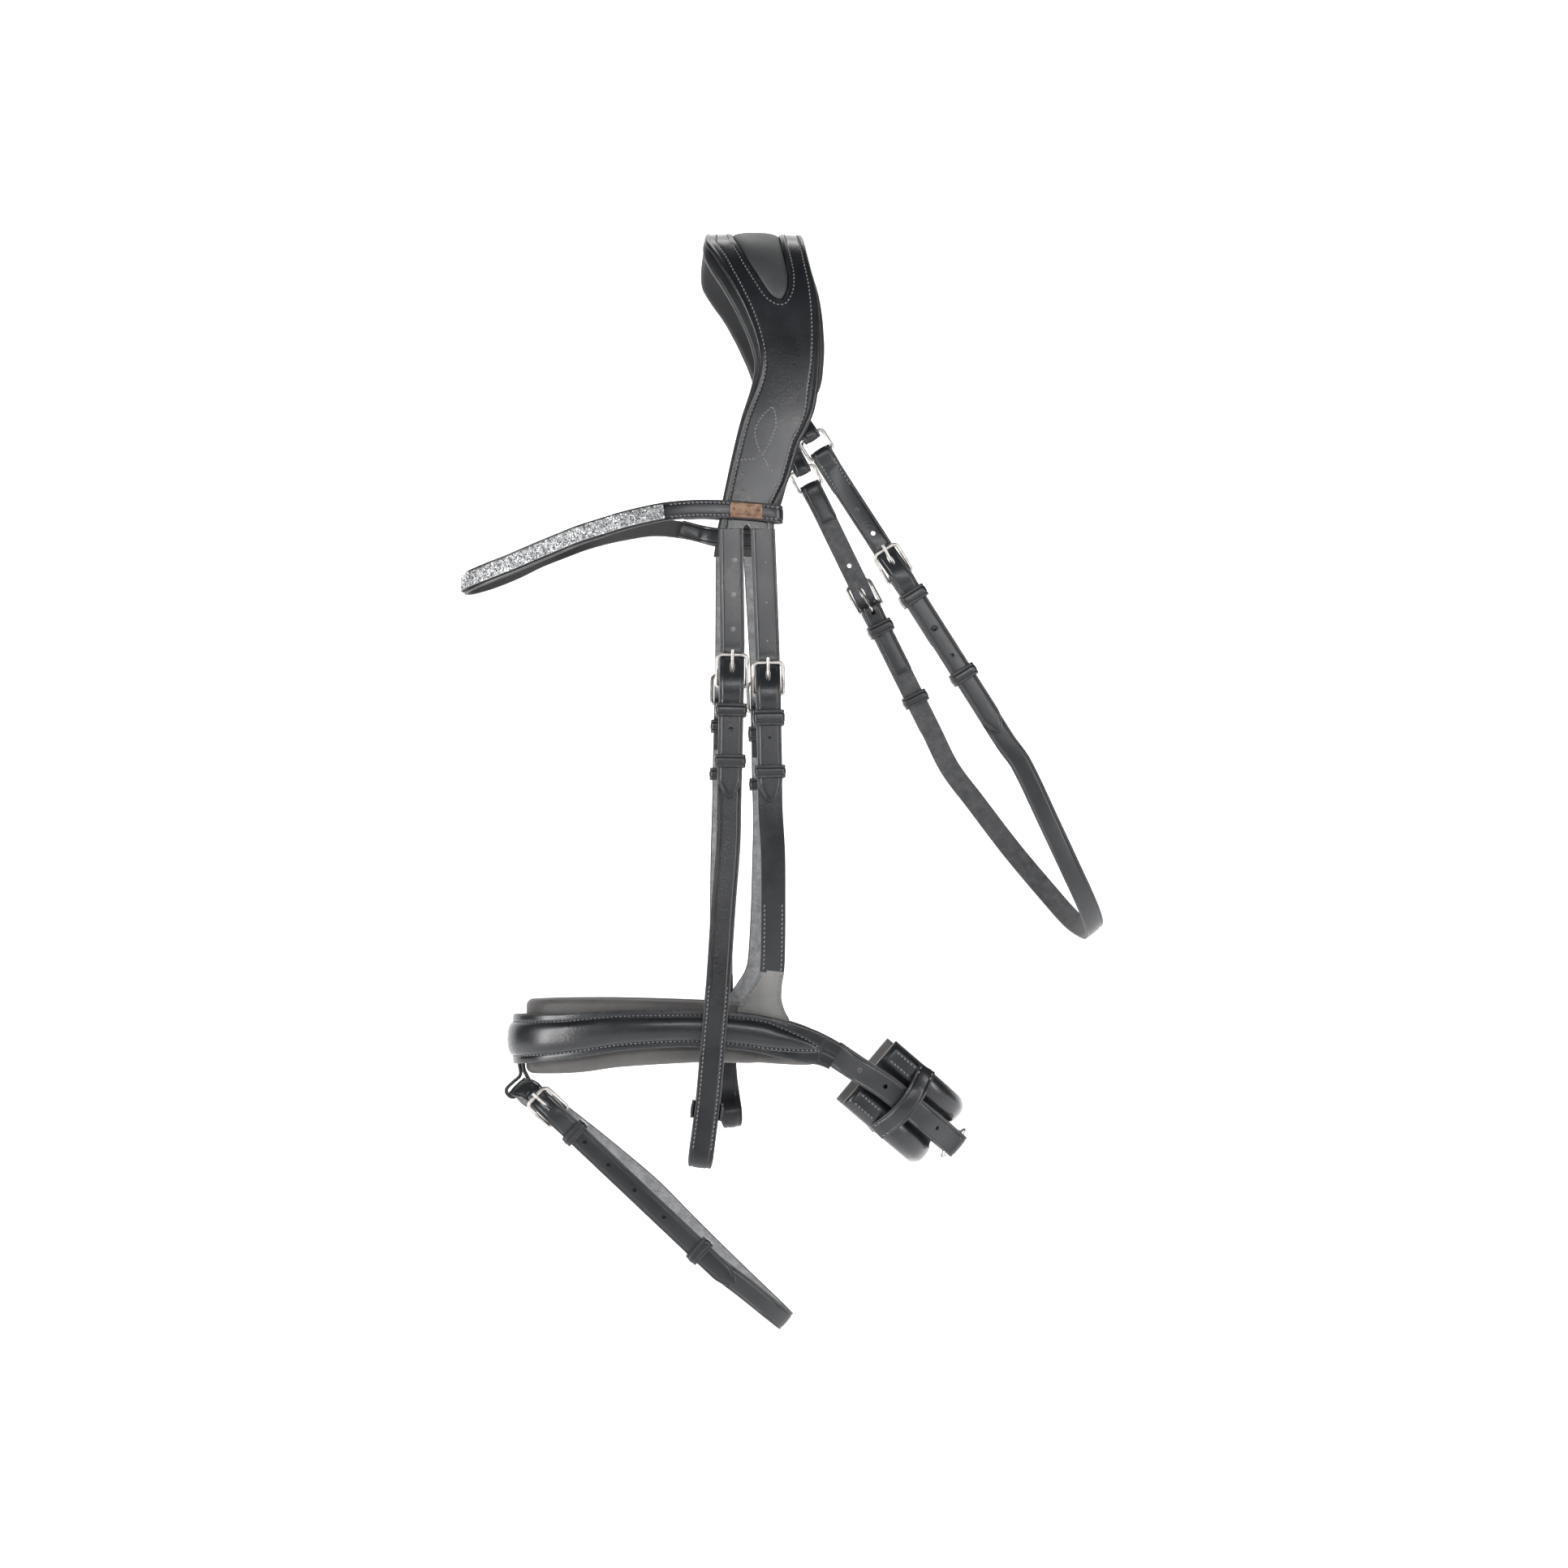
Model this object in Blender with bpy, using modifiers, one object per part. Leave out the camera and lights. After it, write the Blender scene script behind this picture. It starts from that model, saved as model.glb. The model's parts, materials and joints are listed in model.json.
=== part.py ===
"""Snaffle bridle: headpiece, browband, cheekpieces, crank noseband with flash, and throatlash.

Lengths in this file are millimetres until MM turns them into Blender's metres.
The bridle hangs from its headpiece: +Z is up, -X is the front of the horse's head,
-Y is the near side and +Y the far side. The origin is the underside of the headpiece crest.
"""
import math

import bmesh
import bpy
from mathutils import Vector

MM = 0.001

# ---- driving dimensions, millimetres -------------------------------------------------
LEATHER = 2.4            # thickness of a bridle strap
THIN = 1.6               # thickness of a keeper or a loop
GAP = 0.3                # air between neighbouring pieces
WIRE = 1.1               # radius of a buckle frame's wire
TONGUE = 0.95            # radius of a buckle tongue
CHEEK_W = 13.4           # width of cheek and noseband straps
SMALL_W = 11.8           # width of throatlash and flash straps
CRANK_W = 14.0           # width of the crank strap
BUCKLE_RISE = 17.0       # bar to top bar, along the strap
BAR_CORNER = 1.2         # corner radius of a buckle frame beside its bar
BUCKLE_LIFT = 4.1        # how far the top bar stands out from the bar
FOLD_R = WIRE + GAP + LEATHER / 2
LAYER = LEATHER / 2 + GAP / 2
BILLET_N = 3 * LEATHER / 2 + GAP + GAP / 2 + 0.05
BILLET_TOP_N = 0.9       # a billet's height above the bar, before the buckle
SIDE_Y = 54.1            # half the width of the bridle at the cheek buckles
BILLET_Y = 55.0          # half the width where the billets leave the headpiece
RUNNER_CLEAR = 0.35
DATUM = (0.0, 0.0, 3.9)  # the underside of the crest, in the heights used below: the origin
ROOT_Z = -163.6          # where headpiece ends and the billets begin
HOLE_R = 1.3

BLACK = (0.012, 0.013, 0.016)
PAD = (0.035, 0.033, 0.034)
STEEL = (0.72, 0.72, 0.70)

PARTS = None
CUTTERS = None


# ---- scene helpers -------------------------------------------------------------------
def clear_scene():
    for item in list(bpy.data.objects):
        bpy.data.objects.remove(item, do_unlink=True)


def new_collection(name):
    group = bpy.data.collections.new(name)
    bpy.context.scene.collection.children.link(group)
    return group


def material(name, colour, roughness, metallic=0.0):
    mat = bpy.data.materials.get(name)
    if mat:
        return mat
    mat = bpy.data.materials.new(name)
    mat.use_nodes = True
    shader = mat.node_tree.nodes["Principled BSDF"]
    shader.inputs["Base Color"].default_value = (*colour, 1.0)
    shader.inputs["Roughness"].default_value = roughness
    shader.inputs["Metallic"].default_value = metallic
    return mat


def leather():
    return material("black_leather", BLACK, 0.38)


def lining():
    return material("soft_lining", PAD, 0.75)


def metal():
    return material("nickel", STEEL, 0.2, 1.0)


def vec(x, y, z):
    return Vector((x, y, z))


def link(name, mesh, mat, origin=(0.0, 0.0, 0.0)):
    """Make a node from a mesh in millimetres, with its origin at a point of its joint axis."""
    start = Vector(origin)
    for vertex in mesh.vertices:
        vertex.co = (vertex.co - start) * MM
    node = bpy.data.objects.new(name, mesh)
    node.location = (start - Vector(DATUM)) * MM
    mesh.materials.append(mat)
    PARTS.objects.link(node)
    return node


# ---- smooth paths --------------------------------------------------------------------
def chord_knots(points):
    """Running length along a list of points, used as the parameter of a smooth curve."""
    knots = [0.0]
    for a, b in zip(points, points[1:]):
        knots.append(knots[-1] + max((b - a).length, 1e-4))
    return knots


def smooth(values, knots, per_span):
    """A cubic curve through values at their knots, sampled per_span times in each span."""
    last = len(values) - 1
    slopes = []
    for i in range(last + 1):
        a = max(i - 1, 0)
        b = min(i + 1, last)
        slopes.append((values[b] - values[a]) / (knots[b] - knots[a]))
    out = []
    for i in range(last):
        span = knots[i + 1] - knots[i]
        for k in range(per_span):
            t = k / per_span
            out.append((1 + 2 * t) * (1 - t) ** 2 * values[i] + t * (1 - t) ** 2 * span * slopes[i]
                       + t * t * (3 - 2 * t) * values[i + 1] + t * t * (t - 1) * span * slopes[i + 1])
    out.append(values[last])
    return out


def sweep(points, normals, per_span=2):
    """Smooth points and normals along one path."""
    knots = chord_knots(points)
    return smooth(points, knots, per_span), smooth(normals, knots, per_span)


def interpolate(table, x):
    """Piecewise linear value at x from (x, value) pairs with rising or falling x."""
    rows = sorted(table)
    if x <= rows[0][0]:
        return rows[0][1]
    for (x0, v0), (x1, v1) in zip(rows, rows[1:]):
        if x <= x1:
            return v0 + (v1 - v0) * (x - x0) / (x1 - x0)
    return rows[-1][1]


def frames_along(points, normals, closed=False):
    """Tangent, normal and width direction at each point of a path."""
    out = []
    count = len(points)
    for i in range(count):
        if closed:
            ahead = points[(i + 1) % count]
            behind = points[i - 1]
        else:
            ahead = points[min(i + 1, count - 1)]
            behind = points[max(i - 1, 0)]
        tangent = (ahead - behind).normalized()
        normal = normals[i] - tangent * normals[i].dot(tangent)
        normal.normalize()
        out.append((tangent, normal, tangent.cross(normal)))
    return out


# ---- shape builders ------------------------------------------------------------------
def finish_mesh(bm, name):
    bm.normal_update()
    bmesh.ops.recalc_face_normals(bm, faces=bm.faces)
    mesh = bpy.data.meshes.new(name)
    bm.to_mesh(mesh)
    bm.free()
    return mesh


def add_solidify(node, thickness):
    mod = node.modifiers.new("thickness", "SOLIDIFY")
    mod.thickness = thickness * MM
    mod.offset = 0.0
    mod.use_even_offset = True


def add_bevel(node, width):
    mod = node.modifiers.new("edges", "BEVEL")
    mod.width = width * MM
    mod.segments = 1
    mod.limit_method = "ANGLE"
    mod.angle_limit = math.radians(50)
    mod.use_clamp_overlap = True


def band(name, mat, points, normals, widths, thickness, closed=False, tip=None, swell=0.0,
         origin=(0.0, 0.0, 0.0), round_edge=0.0):
    """A strap: an open surface along a path, given its thickness by Solidify.

    widths is one number or a list. tip narrows the end over that length to a blunt point.
    swell lifts the middle of the strap along its normal, like a raised and stitched strap.
    """
    count = len(points)
    if not isinstance(widths, (list, tuple)):
        widths = [widths] * count
    widths = list(widths)
    if tip:
        run = 0.0
        for i in range(count - 1, 0, -1):
            if run < tip:
                share = math.sqrt(max(0.0, 1.0 - (1.0 - run / tip) ** 2))
                widths[i] = widths[i] * (0.25 + 0.75 * share)
            run += (points[i] - points[i - 1]).length
    across = (-1.0, 1.0)
    if swell:
        across = (-1.0, -0.72, -0.45, 0.45, 0.72, 1.0)
    bm = bmesh.new()
    rows = []
    for i, (_, normal, side) in enumerate(frames_along(points, normals, closed)):
        row = []
        for u in across:
            lift = swell if abs(u) < 0.5 else 0.0
            row.append(bm.verts.new(points[i] + side * (u * widths[i] / 2) + normal * lift))
        rows.append(row)
    spans = count if closed else count - 1
    for i in range(spans):
        a = rows[i]
        b = rows[(i + 1) % count]
        for j in range(len(across) - 1):
            bm.faces.new((a[j], a[j + 1], b[j + 1], b[j]))
    node = link(name, finish_mesh(bm, name), mat, origin)
    add_solidify(node, thickness)
    if round_edge:
        add_bevel(node, round_edge)
    return node


def wire(name, mat, points, radius, closed=False, resolution=1, origin=(0.0, 0.0, 0.0)):
    """A round wire along a path of points, as a bevelled curve turned into a mesh."""
    curve = bpy.data.curves.new(name, "CURVE")
    curve.dimensions = "3D"
    curve.bevel_depth = radius * MM
    curve.bevel_resolution = resolution
    curve.use_fill_caps = True
    spline = curve.splines.new("POLY")
    spline.points.add(len(points) - 1)
    start = Vector(origin)
    for slot, point in zip(spline.points, points):
        slot.co = (*((point - start) * MM), 1.0)
    spline.use_cyclic_u = closed
    guide = bpy.data.objects.new(name + "_path", curve)
    guide.location = (start - Vector(DATUM)) * MM
    PARTS.objects.link(guide)
    bpy.context.view_layer.update()
    graph = bpy.context.evaluated_depsgraph_get()
    mesh = bpy.data.meshes.new_from_object(guide.evaluated_get(graph))
    bm = bmesh.new()
    bm.from_mesh(mesh)
    bmesh.ops.remove_doubles(bm, verts=bm.verts, dist=0.00001)
    bmesh.ops.recalc_face_normals(bm, faces=bm.faces)
    bm.to_mesh(mesh)
    bm.free()
    node = bpy.data.objects.new(name, mesh)
    node.matrix_world = guide.matrix_world
    bpy.data.objects.remove(guide, do_unlink=True)
    mesh.materials.clear()
    mesh.materials.append(mat)
    mesh.shade_smooth()
    PARTS.objects.link(node)
    return node


def cutter(name, mesh):
    for vertex in mesh.vertices:
        vertex.co = (vertex.co - Vector(DATUM)) * MM
    tool = bpy.data.objects.new(name, mesh)
    tool.hide_render = True
    tool.display_type = "WIRE"
    CUTTERS.objects.link(tool)
    return tool


def cut(node, tool):
    mod = node.modifiers.new(tool.name, "BOOLEAN")
    mod.operation = "DIFFERENCE"
    mod.solver = "EXACT"
    mod.object = tool


def add_rod(bm, centre, axis, along, half_length, half_width, half_depth, segments=8):
    """A cylinder about axis, oval when its half length along and half width differ."""
    side = axis.cross(along).normalized()
    made = bmesh.ops.create_cone(bm, cap_ends=True, segments=segments, radius1=1.0, radius2=1.0, depth=2.0)
    for vertex in made["verts"]:
        x, y, z = vertex.co
        vertex.co = centre + along * (x * half_length) + side * (y * half_width) + axis * (z * half_depth)


def punch(node, name, places, segments=8):
    """Cut oval holes: places are (centre, axis, along, half length, half width, half depth)."""
    bm = bmesh.new()
    for place in places:
        add_rod(bm, *place, segments)
    cut(node, cutter(name, finish_mesh(bm, name)))


def rounded_loop(half_w, half_h, radius, steps=3, low_radius=None):
    """Points of a rounded rectangle as (across, up) pairs; its lower corners may differ."""
    out = []
    corners = ((1, 1, 0), (-1, 1, 90), (-1, -1, 180), (1, -1, 270))
    for sx, sy, start in corners:
        r = low_radius if low_radius and sy < 0 else radius
        for k in range(steps + 1):
            angle = math.radians(start + 90 * k / steps)
            out.append((sx * (half_w - r) + r * math.cos(angle),
                        sy * (half_h - r) + r * math.sin(angle)))
    return out


class Place:
    """A local frame: s runs along the strap, n points away from the horse, w lies across."""

    def __init__(self, origin, along, outward):
        self.o = Vector(origin)
        self.s = Vector(along).normalized()
        self.n = Vector(outward)
        self.n = (self.n - self.s * self.n.dot(self.s)).normalized()
        self.w = self.s.cross(self.n)

    def at(self, s, n, w=0.0):
        return self.o + self.s * s + self.n * n + self.w * w


# ---- buckle set ----------------------------------------------------------------------
def keeper(name, place, s, length, width, low, high, origin=None):
    """A leather loop round the strap layers between heights low and high."""
    half_w = width / 2 + RUNNER_CLEAR + THIN / 2
    half_h = (high - low) / 2 + RUNNER_CLEAR + THIN / 2
    middle = (high + low) / 2
    points = []
    normals = []
    for across, up in rounded_loop(half_w, half_h, 1.5, 2):
        points.append(place.at(s, middle + up, across))
        normals.append(place.w * across / half_w + place.n * up / half_h)
    return band(name, leather(), points, normals, length, THIN, closed=True,
                origin=origin or place.at(s, middle))


def cradle(name, place, length, width, low, high, origin):
    """A keeper that passes behind the layers and ends at the strap's two edges."""
    half_w = width / 2 + RUNNER_CLEAR + THIN / 2
    floor = low - RUNNER_CLEAR - THIN / 2
    turn = 1.5
    across = [(half_w, high), (half_w, high * 0.4 + floor * 0.6), (half_w, floor + turn),
              (half_w - turn * 0.3, floor + turn * 0.3), (half_w - turn, floor), (0.0, floor)]
    across += [(-w, n) for w, n in reversed(across[:-1])]
    points = [place.at(0.0, n, w) for w, n in across]
    normals = []
    for w, n in across:
        normals.append((place.w * (w / half_w) ** 3 + place.n * min(0.0, (n - floor - turn) / turn)).normalized())
    return band(name, leather(), points, normals, length, THIN, origin=origin)


def buckle_frame(name, place, width, rise=BUCKLE_RISE, lift=BUCKLE_LIFT, origin=None):
    half = width / 2 + RUNNER_CLEAR + WIRE
    slope = math.hypot(rise, lift)
    up = (place.at(-rise, lift) - place.o) / slope
    middle = place.o + up * (slope / 2)
    points = []
    for across, along in rounded_loop(half, slope / 2, 3.0, 2, BAR_CORNER):
        points.append(middle + place.w * across + up * along)
    return wire(name, metal(), points, WIRE, closed=True, origin=origin or place.o)


def tongue(name, place, rise=BUCKLE_RISE, lift=BUCKLE_LIFT):
    """The pin: an eye bent round the bar, then a shank that comes to rest on the top bar."""
    eye = WIRE + GAP + TONGUE
    tip_s = -rise - 0.6
    tip_n = lift + WIRE + GAP + TONGUE + 0.75
    reach = math.hypot(tip_s, tip_n)
    leave = math.atan2(tip_n, tip_s) + math.acos(eye / reach)
    points = []
    turns = 8
    bend = math.radians(272)
    for k in range(turns + 1):
        angle = leave + bend * (1 - k / turns)
        points.append(place.at(eye * math.cos(angle), eye * math.sin(angle)))
    points.append(place.at(tip_s, tip_n))
    points.append(place.at(tip_s - 1.6, tip_n - 0.1))
    return wire(name, metal(), points, TONGUE, origin=place.o)


def fold_path(place, back_length):
    """Control points from the back layer's end, round the bar, to the front layer."""
    points = [place.at(back_length, -LAYER), place.at(back_length * 0.6, -LAYER), place.at(9.0, -LAYER)]
    points.append(place.at(4.5, -FOLD_R * 0.86))
    for angle in (270, 235, 205, 180, 155, 125, 90):
        turn = math.radians(angle)
        points.append(place.at(FOLD_R * math.cos(turn), FOLD_R * math.sin(turn)))
    points.append(place.at(4.5, FOLD_R * 0.86))
    points.append(place.at(9.0, LAYER))
    return points


def fold_normals(place):
    out = [-place.n] * 4
    for angle in (270, 235, 205, 180, 155, 125, 90):
        turn = math.radians(angle)
        out.append(place.s * math.cos(turn) + place.n * math.sin(turn))
    out += [place.n] * 2
    return out


def billet_path(place, rise=BUCKLE_RISE):
    """The billet's control points from above the buckle, over the bar, to the fixed keeper."""
    return [place.at(-rise - 7, BILLET_TOP_N), place.at(-rise - 1.5, BILLET_TOP_N),
            place.at(-12.5, 2.2), place.at(-7.5, 3.9), place.at(-3.0, 5.25), place.at(1.5, 5.45),
            place.at(4.8, 5.05), place.at(8.2, BILLET_N), place.at(14.0, BILLET_N)]


def tongue_slot(node, place, name):
    """The slot in the fold that the tongue's eye sits in."""
    size = TONGUE + GAP + 0.05
    bm = bmesh.new()
    made = bmesh.ops.create_cube(bm, size=2.0)
    for vertex in made["verts"]:
        x, y, z = vertex.co
        vertex.co = place.at(-1.4 + x * 5.6, y * 5.5, z * size)
    cut(node, cutter(name, finish_mesh(bm, name)))


def billet_holes(node, place, name, used_s, spare):
    """One hole for the tongue, opened along the strap, and the spare ones above and below."""
    places = [(place.at(used_s, 3.0), place.n, place.s, 3.5, TONGUE + 0.45, 4.0)]
    for s, n in spare:
        places.append((place.at(s, n), place.n, place.s, HOLE_R, HOLE_R, 2.0))
    punch(node, name, places)


# ---- headpiece -----------------------------------------------------------------------
ARCH = [(0, 10.6), (-14, 8.9), (-27, 3.4), (-37, -6), (-44.5, -19), (-49.5, -34), (-52.3, -51),
        (-54.2, -72), (-55, -95), (-55, -120), (-55, -142), (-55, -163.2)]
FRONT_X = [(10.6, -29.0), (3, -30.0), (-1, -29.2), (-8.6, -25), (-17, -20.6), (-24.5, -16.4), (-33, -12.2),
           (-39.4, -9.2), (-47.4, -6), (-54.3, -3.6), (-63.5, -1.4), (-74, -0.8), (-84, -3.0), (-102, -9.7),
           (-121, -14.6), (-145, -19.9), (-163.2, -22.7)]
BACK_X = [(10.6, 25.0), (2, 25.6), (-13, 27.8), (-30, 31.2), (-43, 32.6), (-60, 33), (-77, 32.5), (-88, 31.4),
          (-98, 29.4), (-107, 25.8), (-115, 21.8), (-136, 15.4), (-147, 10.2), (-153, 7.6), (-163.2, 7.4)]
PAD_FRONT_X = [(10.6, -30.0), (3, -31.0), (-4, -30.8), (-9, -29.4), (-17, -25.8), (-24.5, -21.6), (-33, -17.2),
               (-39.4, -14.0), (-47.4, -10.4), (-54.3, -7.4), (-63.5, -4.4), (-72, -3), (-84, -5),
               (-102, -10.6), (-121, -15.2), (-147, -20.7)]
PAD_BACK_X = [(10.6, 26.0), (2, 26.8), (-13, 29.0), (-30, 32.8), (-43, 34.6), (-53, 35.3), (-62, 35.6),
              (-72, 35), (-81, 33.9), (-88, 31.0), (-94, 22.6), (-101, 14.6), (-115, 12.1), (-136, 9.6),
              (-147, 8.6)]
FAR_FRONT = [(-8, 0.0), (-30, 4.0), (-92, 4.0), (-122, 0.0)]   # how much further back the far front edge lies
PAD_THICK = 5.2          # the headpiece's padding
PAD_END_Z = -147.0
LEATHER_END_Z = -163.3
SPLIT_X = -7.4           # where the headpiece splits into its two billets
POLL_THICK = 3.6         # the soft insert at the poll
POLL_RAISE = 0.9
POLL_MARGIN = 0.6        # air between the insert and the edge of its opening


def arch_half(depth, end_z):
    """Points and outward normals of one half of the arch, a given depth inside the leather."""
    route = [Vector((0.0, y, z)) for y, z in ARCH]
    samples = smooth(route, chord_knots(route), 2)
    flat = [Vector((0.0, 0.0, 1.0))]
    for i in range(1, len(samples)):
        ahead = samples[min(i + 1, len(samples) - 1)]
        along = ahead - samples[i - 1]
        flat.append(Vector((0.0, along.z, -along.y)).normalized())
    out = []
    for point, normal in zip(samples, flat):
        moved = point - normal * depth
        if moved.z >= end_z - 0.01:
            out.append((moved, normal))
    return out


def arch_band(name, mat, depth, end_z, thickness, margin, round_edge=0.0, front=FRONT_X, back=BACK_X,
              far_front=FAR_FRONT):
    """A piece of the headpiece: the whole arch, inside its edges by margin."""
    near = arch_half(depth, end_z)
    far = [(Vector((p.x, -p.y, p.z)), Vector((n.x, -n.y, n.z))) for p, n in near[1:]]
    rows = [(p, n) for p, n in reversed(near)] + far
    bm = bmesh.new()
    lines = []
    for point, normal in rows:
        z = point.z + normal.z * depth
        x0 = interpolate(front, z) + margin
        if point.y > 0:
            x0 += interpolate(far_front, z)
        x1 = interpolate(back, z) - margin
        lines.append([bm.verts.new((x, point.y, point.z)) for x in (x0, x1)])
    for a, b in zip(lines, lines[1:]):
        bm.faces.new((a[0], a[1], b[1], b[0]))
    node = link(name, finish_mesh(bm, name), mat)
    add_solidify(node, thickness)
    if round_edge:
        add_bevel(node, round_edge)
    return node


INSERT_FRONT = [(12, -14.8), (4, -13.8), (-1, -11.8), (-10.5, -7.4), (-18.4, -3.2), (-26.3, 1.3),
                (-32.4, 5.4), (-35.5, 10.0)]
INSERT_BACK = [(12, 12.0), (2, 12.6), (-6.5, 13.8), (-15.5, 15.4), (-23, 16.0), (-30, 15.2), (-35.5, 12.2)]
INSERT_END = -35.0


def insert_cutter():
    """A prism along Y with the outline of the opening for the poll insert."""
    bm = bmesh.new()
    outline = [(x, z) for z, x in INSERT_FRONT] + [(x, z) for z, x in reversed(INSERT_BACK)]
    outline[0] = (outline[0][0], 22.0)
    outline[-1] = (outline[-1][0], 22.0)
    front = [bm.verts.new((x, -70.0, z)) for x, z in outline]
    face = bm.faces.new(front)
    made = bmesh.ops.extrude_face_region(bm, geom=[face])
    moved = [item for item in made["geom"] if isinstance(item, bmesh.types.BMVert)]
    bmesh.ops.translate(bm, verts=moved, vec=(0.0, 140.0, 0.0))
    return cutter("insert_opening", finish_mesh(bm, "insert_opening"))


def make_headpiece():
    top = arch_band("headpiece_leather", leather(), 0.0, LEATHER_END_Z, LEATHER, 0.0)
    cut(top, insert_cutter())
    punch(top, "split_slot", [
        (side_point(SPLIT_X, BILLET_Y, LEATHER_END_Z, side), vec(0, 1, 0), vec(0, 0, 1), 3.0, 1.9, 5.0)
        for side in (-1, 1)])
    pad_depth = LEATHER / 2 + GAP + PAD_THICK / 2
    arch_band("headpiece_padding", lining(), pad_depth, PAD_END_Z, PAD_THICK, 0.0, 1.8,
              front=PAD_FRONT_X, back=PAD_BACK_X)
    arch_band("poll_insert_pad", lining(), -POLL_RAISE, INSERT_END, POLL_THICK, POLL_MARGIN, 0.9,
              front=INSERT_FRONT, back=INSERT_BACK, far_front=[(0.0, 0.0)])


# ---- one side's cheek and noseband straps ----------------------------------------------
def side_point(x, y, z, side):
    return Vector((x, side * y, z))


CHEEK_BAR = (-15.6, -249.4)
REAR_BAR = {-1: (4.4, -253.6), 1: (5.8, -253.6)}
CHEEK_ROOT_X = {-1: -16.0, 1: -14.8}
REAR_ROOT_X = 1.4
CHEEK_RUN = {
    -1: [(-17.4, 55.8, -336), (-20.0, 57.0, -370), (-22.8, 58.4, -412),
         (-25.2, 59.3, -440), (-28.2, 59.7, -474), (-31.4, 59.7, -500)],
    1: [(-17.5, 55.8, -336), (-17.9, 57.0, -370), (-17.9, 58.4, -406),
        (-17.2, 59.3, -435), (-15.2, 59.7, -466), (-12.6, 59.7, -485)],
}
HANGER_RUN = {
    -1: [(7.0, 54.4, -340), (7.3, 52.0, -366), (7.3, 49.6, -388), (6.8, 47.4, -404)],
    1: [(6.6, 54.4, -340), (5.8, 52.0, -366), (4.8, 49.6, -386), (3.6, 47.4, -400)],
}
GUSSET_RUN = [(-1.8, 46.0, -8.0), (-3.8, 45.2, -15.0), (-5.2, 44.8, -22.0), (-5.6, 44.6, -27.0)]
GUSSET_W = [(-27.0, 31.5), (-22.0, 27.0), (-18.0, 22.6), (-14.0, 18.8), (-10.0, 16.0), (-5.0, 13.9),
            (0.0, CHEEK_W)]
SIDE_NAME = {-1: "near", 1: "far"}
BIT_LOOP = 3.9           # middle radius of the fold that holds the bit ring
BIT_KEEPER = {-1: (-1, 0.2), 1: (-2, 0.55)}   # which stretch of the run, and how far along it
FOLD_SHAPE = {           # share of the cheek strap's width, by distance from the end of that fold
    -1: [(0.0, 0.9), (2.5, 0.95), (6.0, 1.0)],
    1: [(0.0, 0.66), (2.0, 0.8), (5.0, 0.92), (9.0, 1.0)],
}
RUNNER_S = 41.0
FIXED_S = 13.2
TIP_S = 61.0


def straight(place):
    """The stretch of a buckled strap that lies flat under its keepers."""
    return [place.at(24.0, LAYER), place.at(46.0, LAYER), place.at(64.0, LAYER)]


def strap_normals(count, side):
    return [Vector((0.0, float(side), 0.0))] * count


def cheek_place(side, bar):
    return Place((bar[0], side * SIDE_Y, bar[1]), (-0.02, 0.0, -1.0), (0.0, side, 0.0))


def make_billet(name, place, root, side, width, used_s, spare, tip_s=TIP_S, origin=None):
    """A billet from its root, behind the top bar, over the bar and down to its tip."""
    path = [root, root + (place.at(-BUCKLE_RISE - 7, BILLET_TOP_N) - root) * 0.5]
    path += billet_path(place)
    path += [place.at(tip_s * 0.45, BILLET_N), place.at(tip_s * 0.75, BILLET_N), place.at(tip_s, BILLET_N)]
    points, facing = sweep(path, strap_normals(len(path), side), 3)
    node = band(name, leather(), points, facing, width, LEATHER, tip=9.0, origin=origin or root)
    billet_holes(node, place, name + "_holes", used_s, spare)
    return node


def bit_place(run, side):
    """Where the keeper sits on the layers that hold the bit."""
    end, share = BIT_KEEPER[side]
    low = run[end]
    high = run[end - 1]
    return Place(high + (low - high) * share, low - high, (0.0, side, 0.0))


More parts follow.
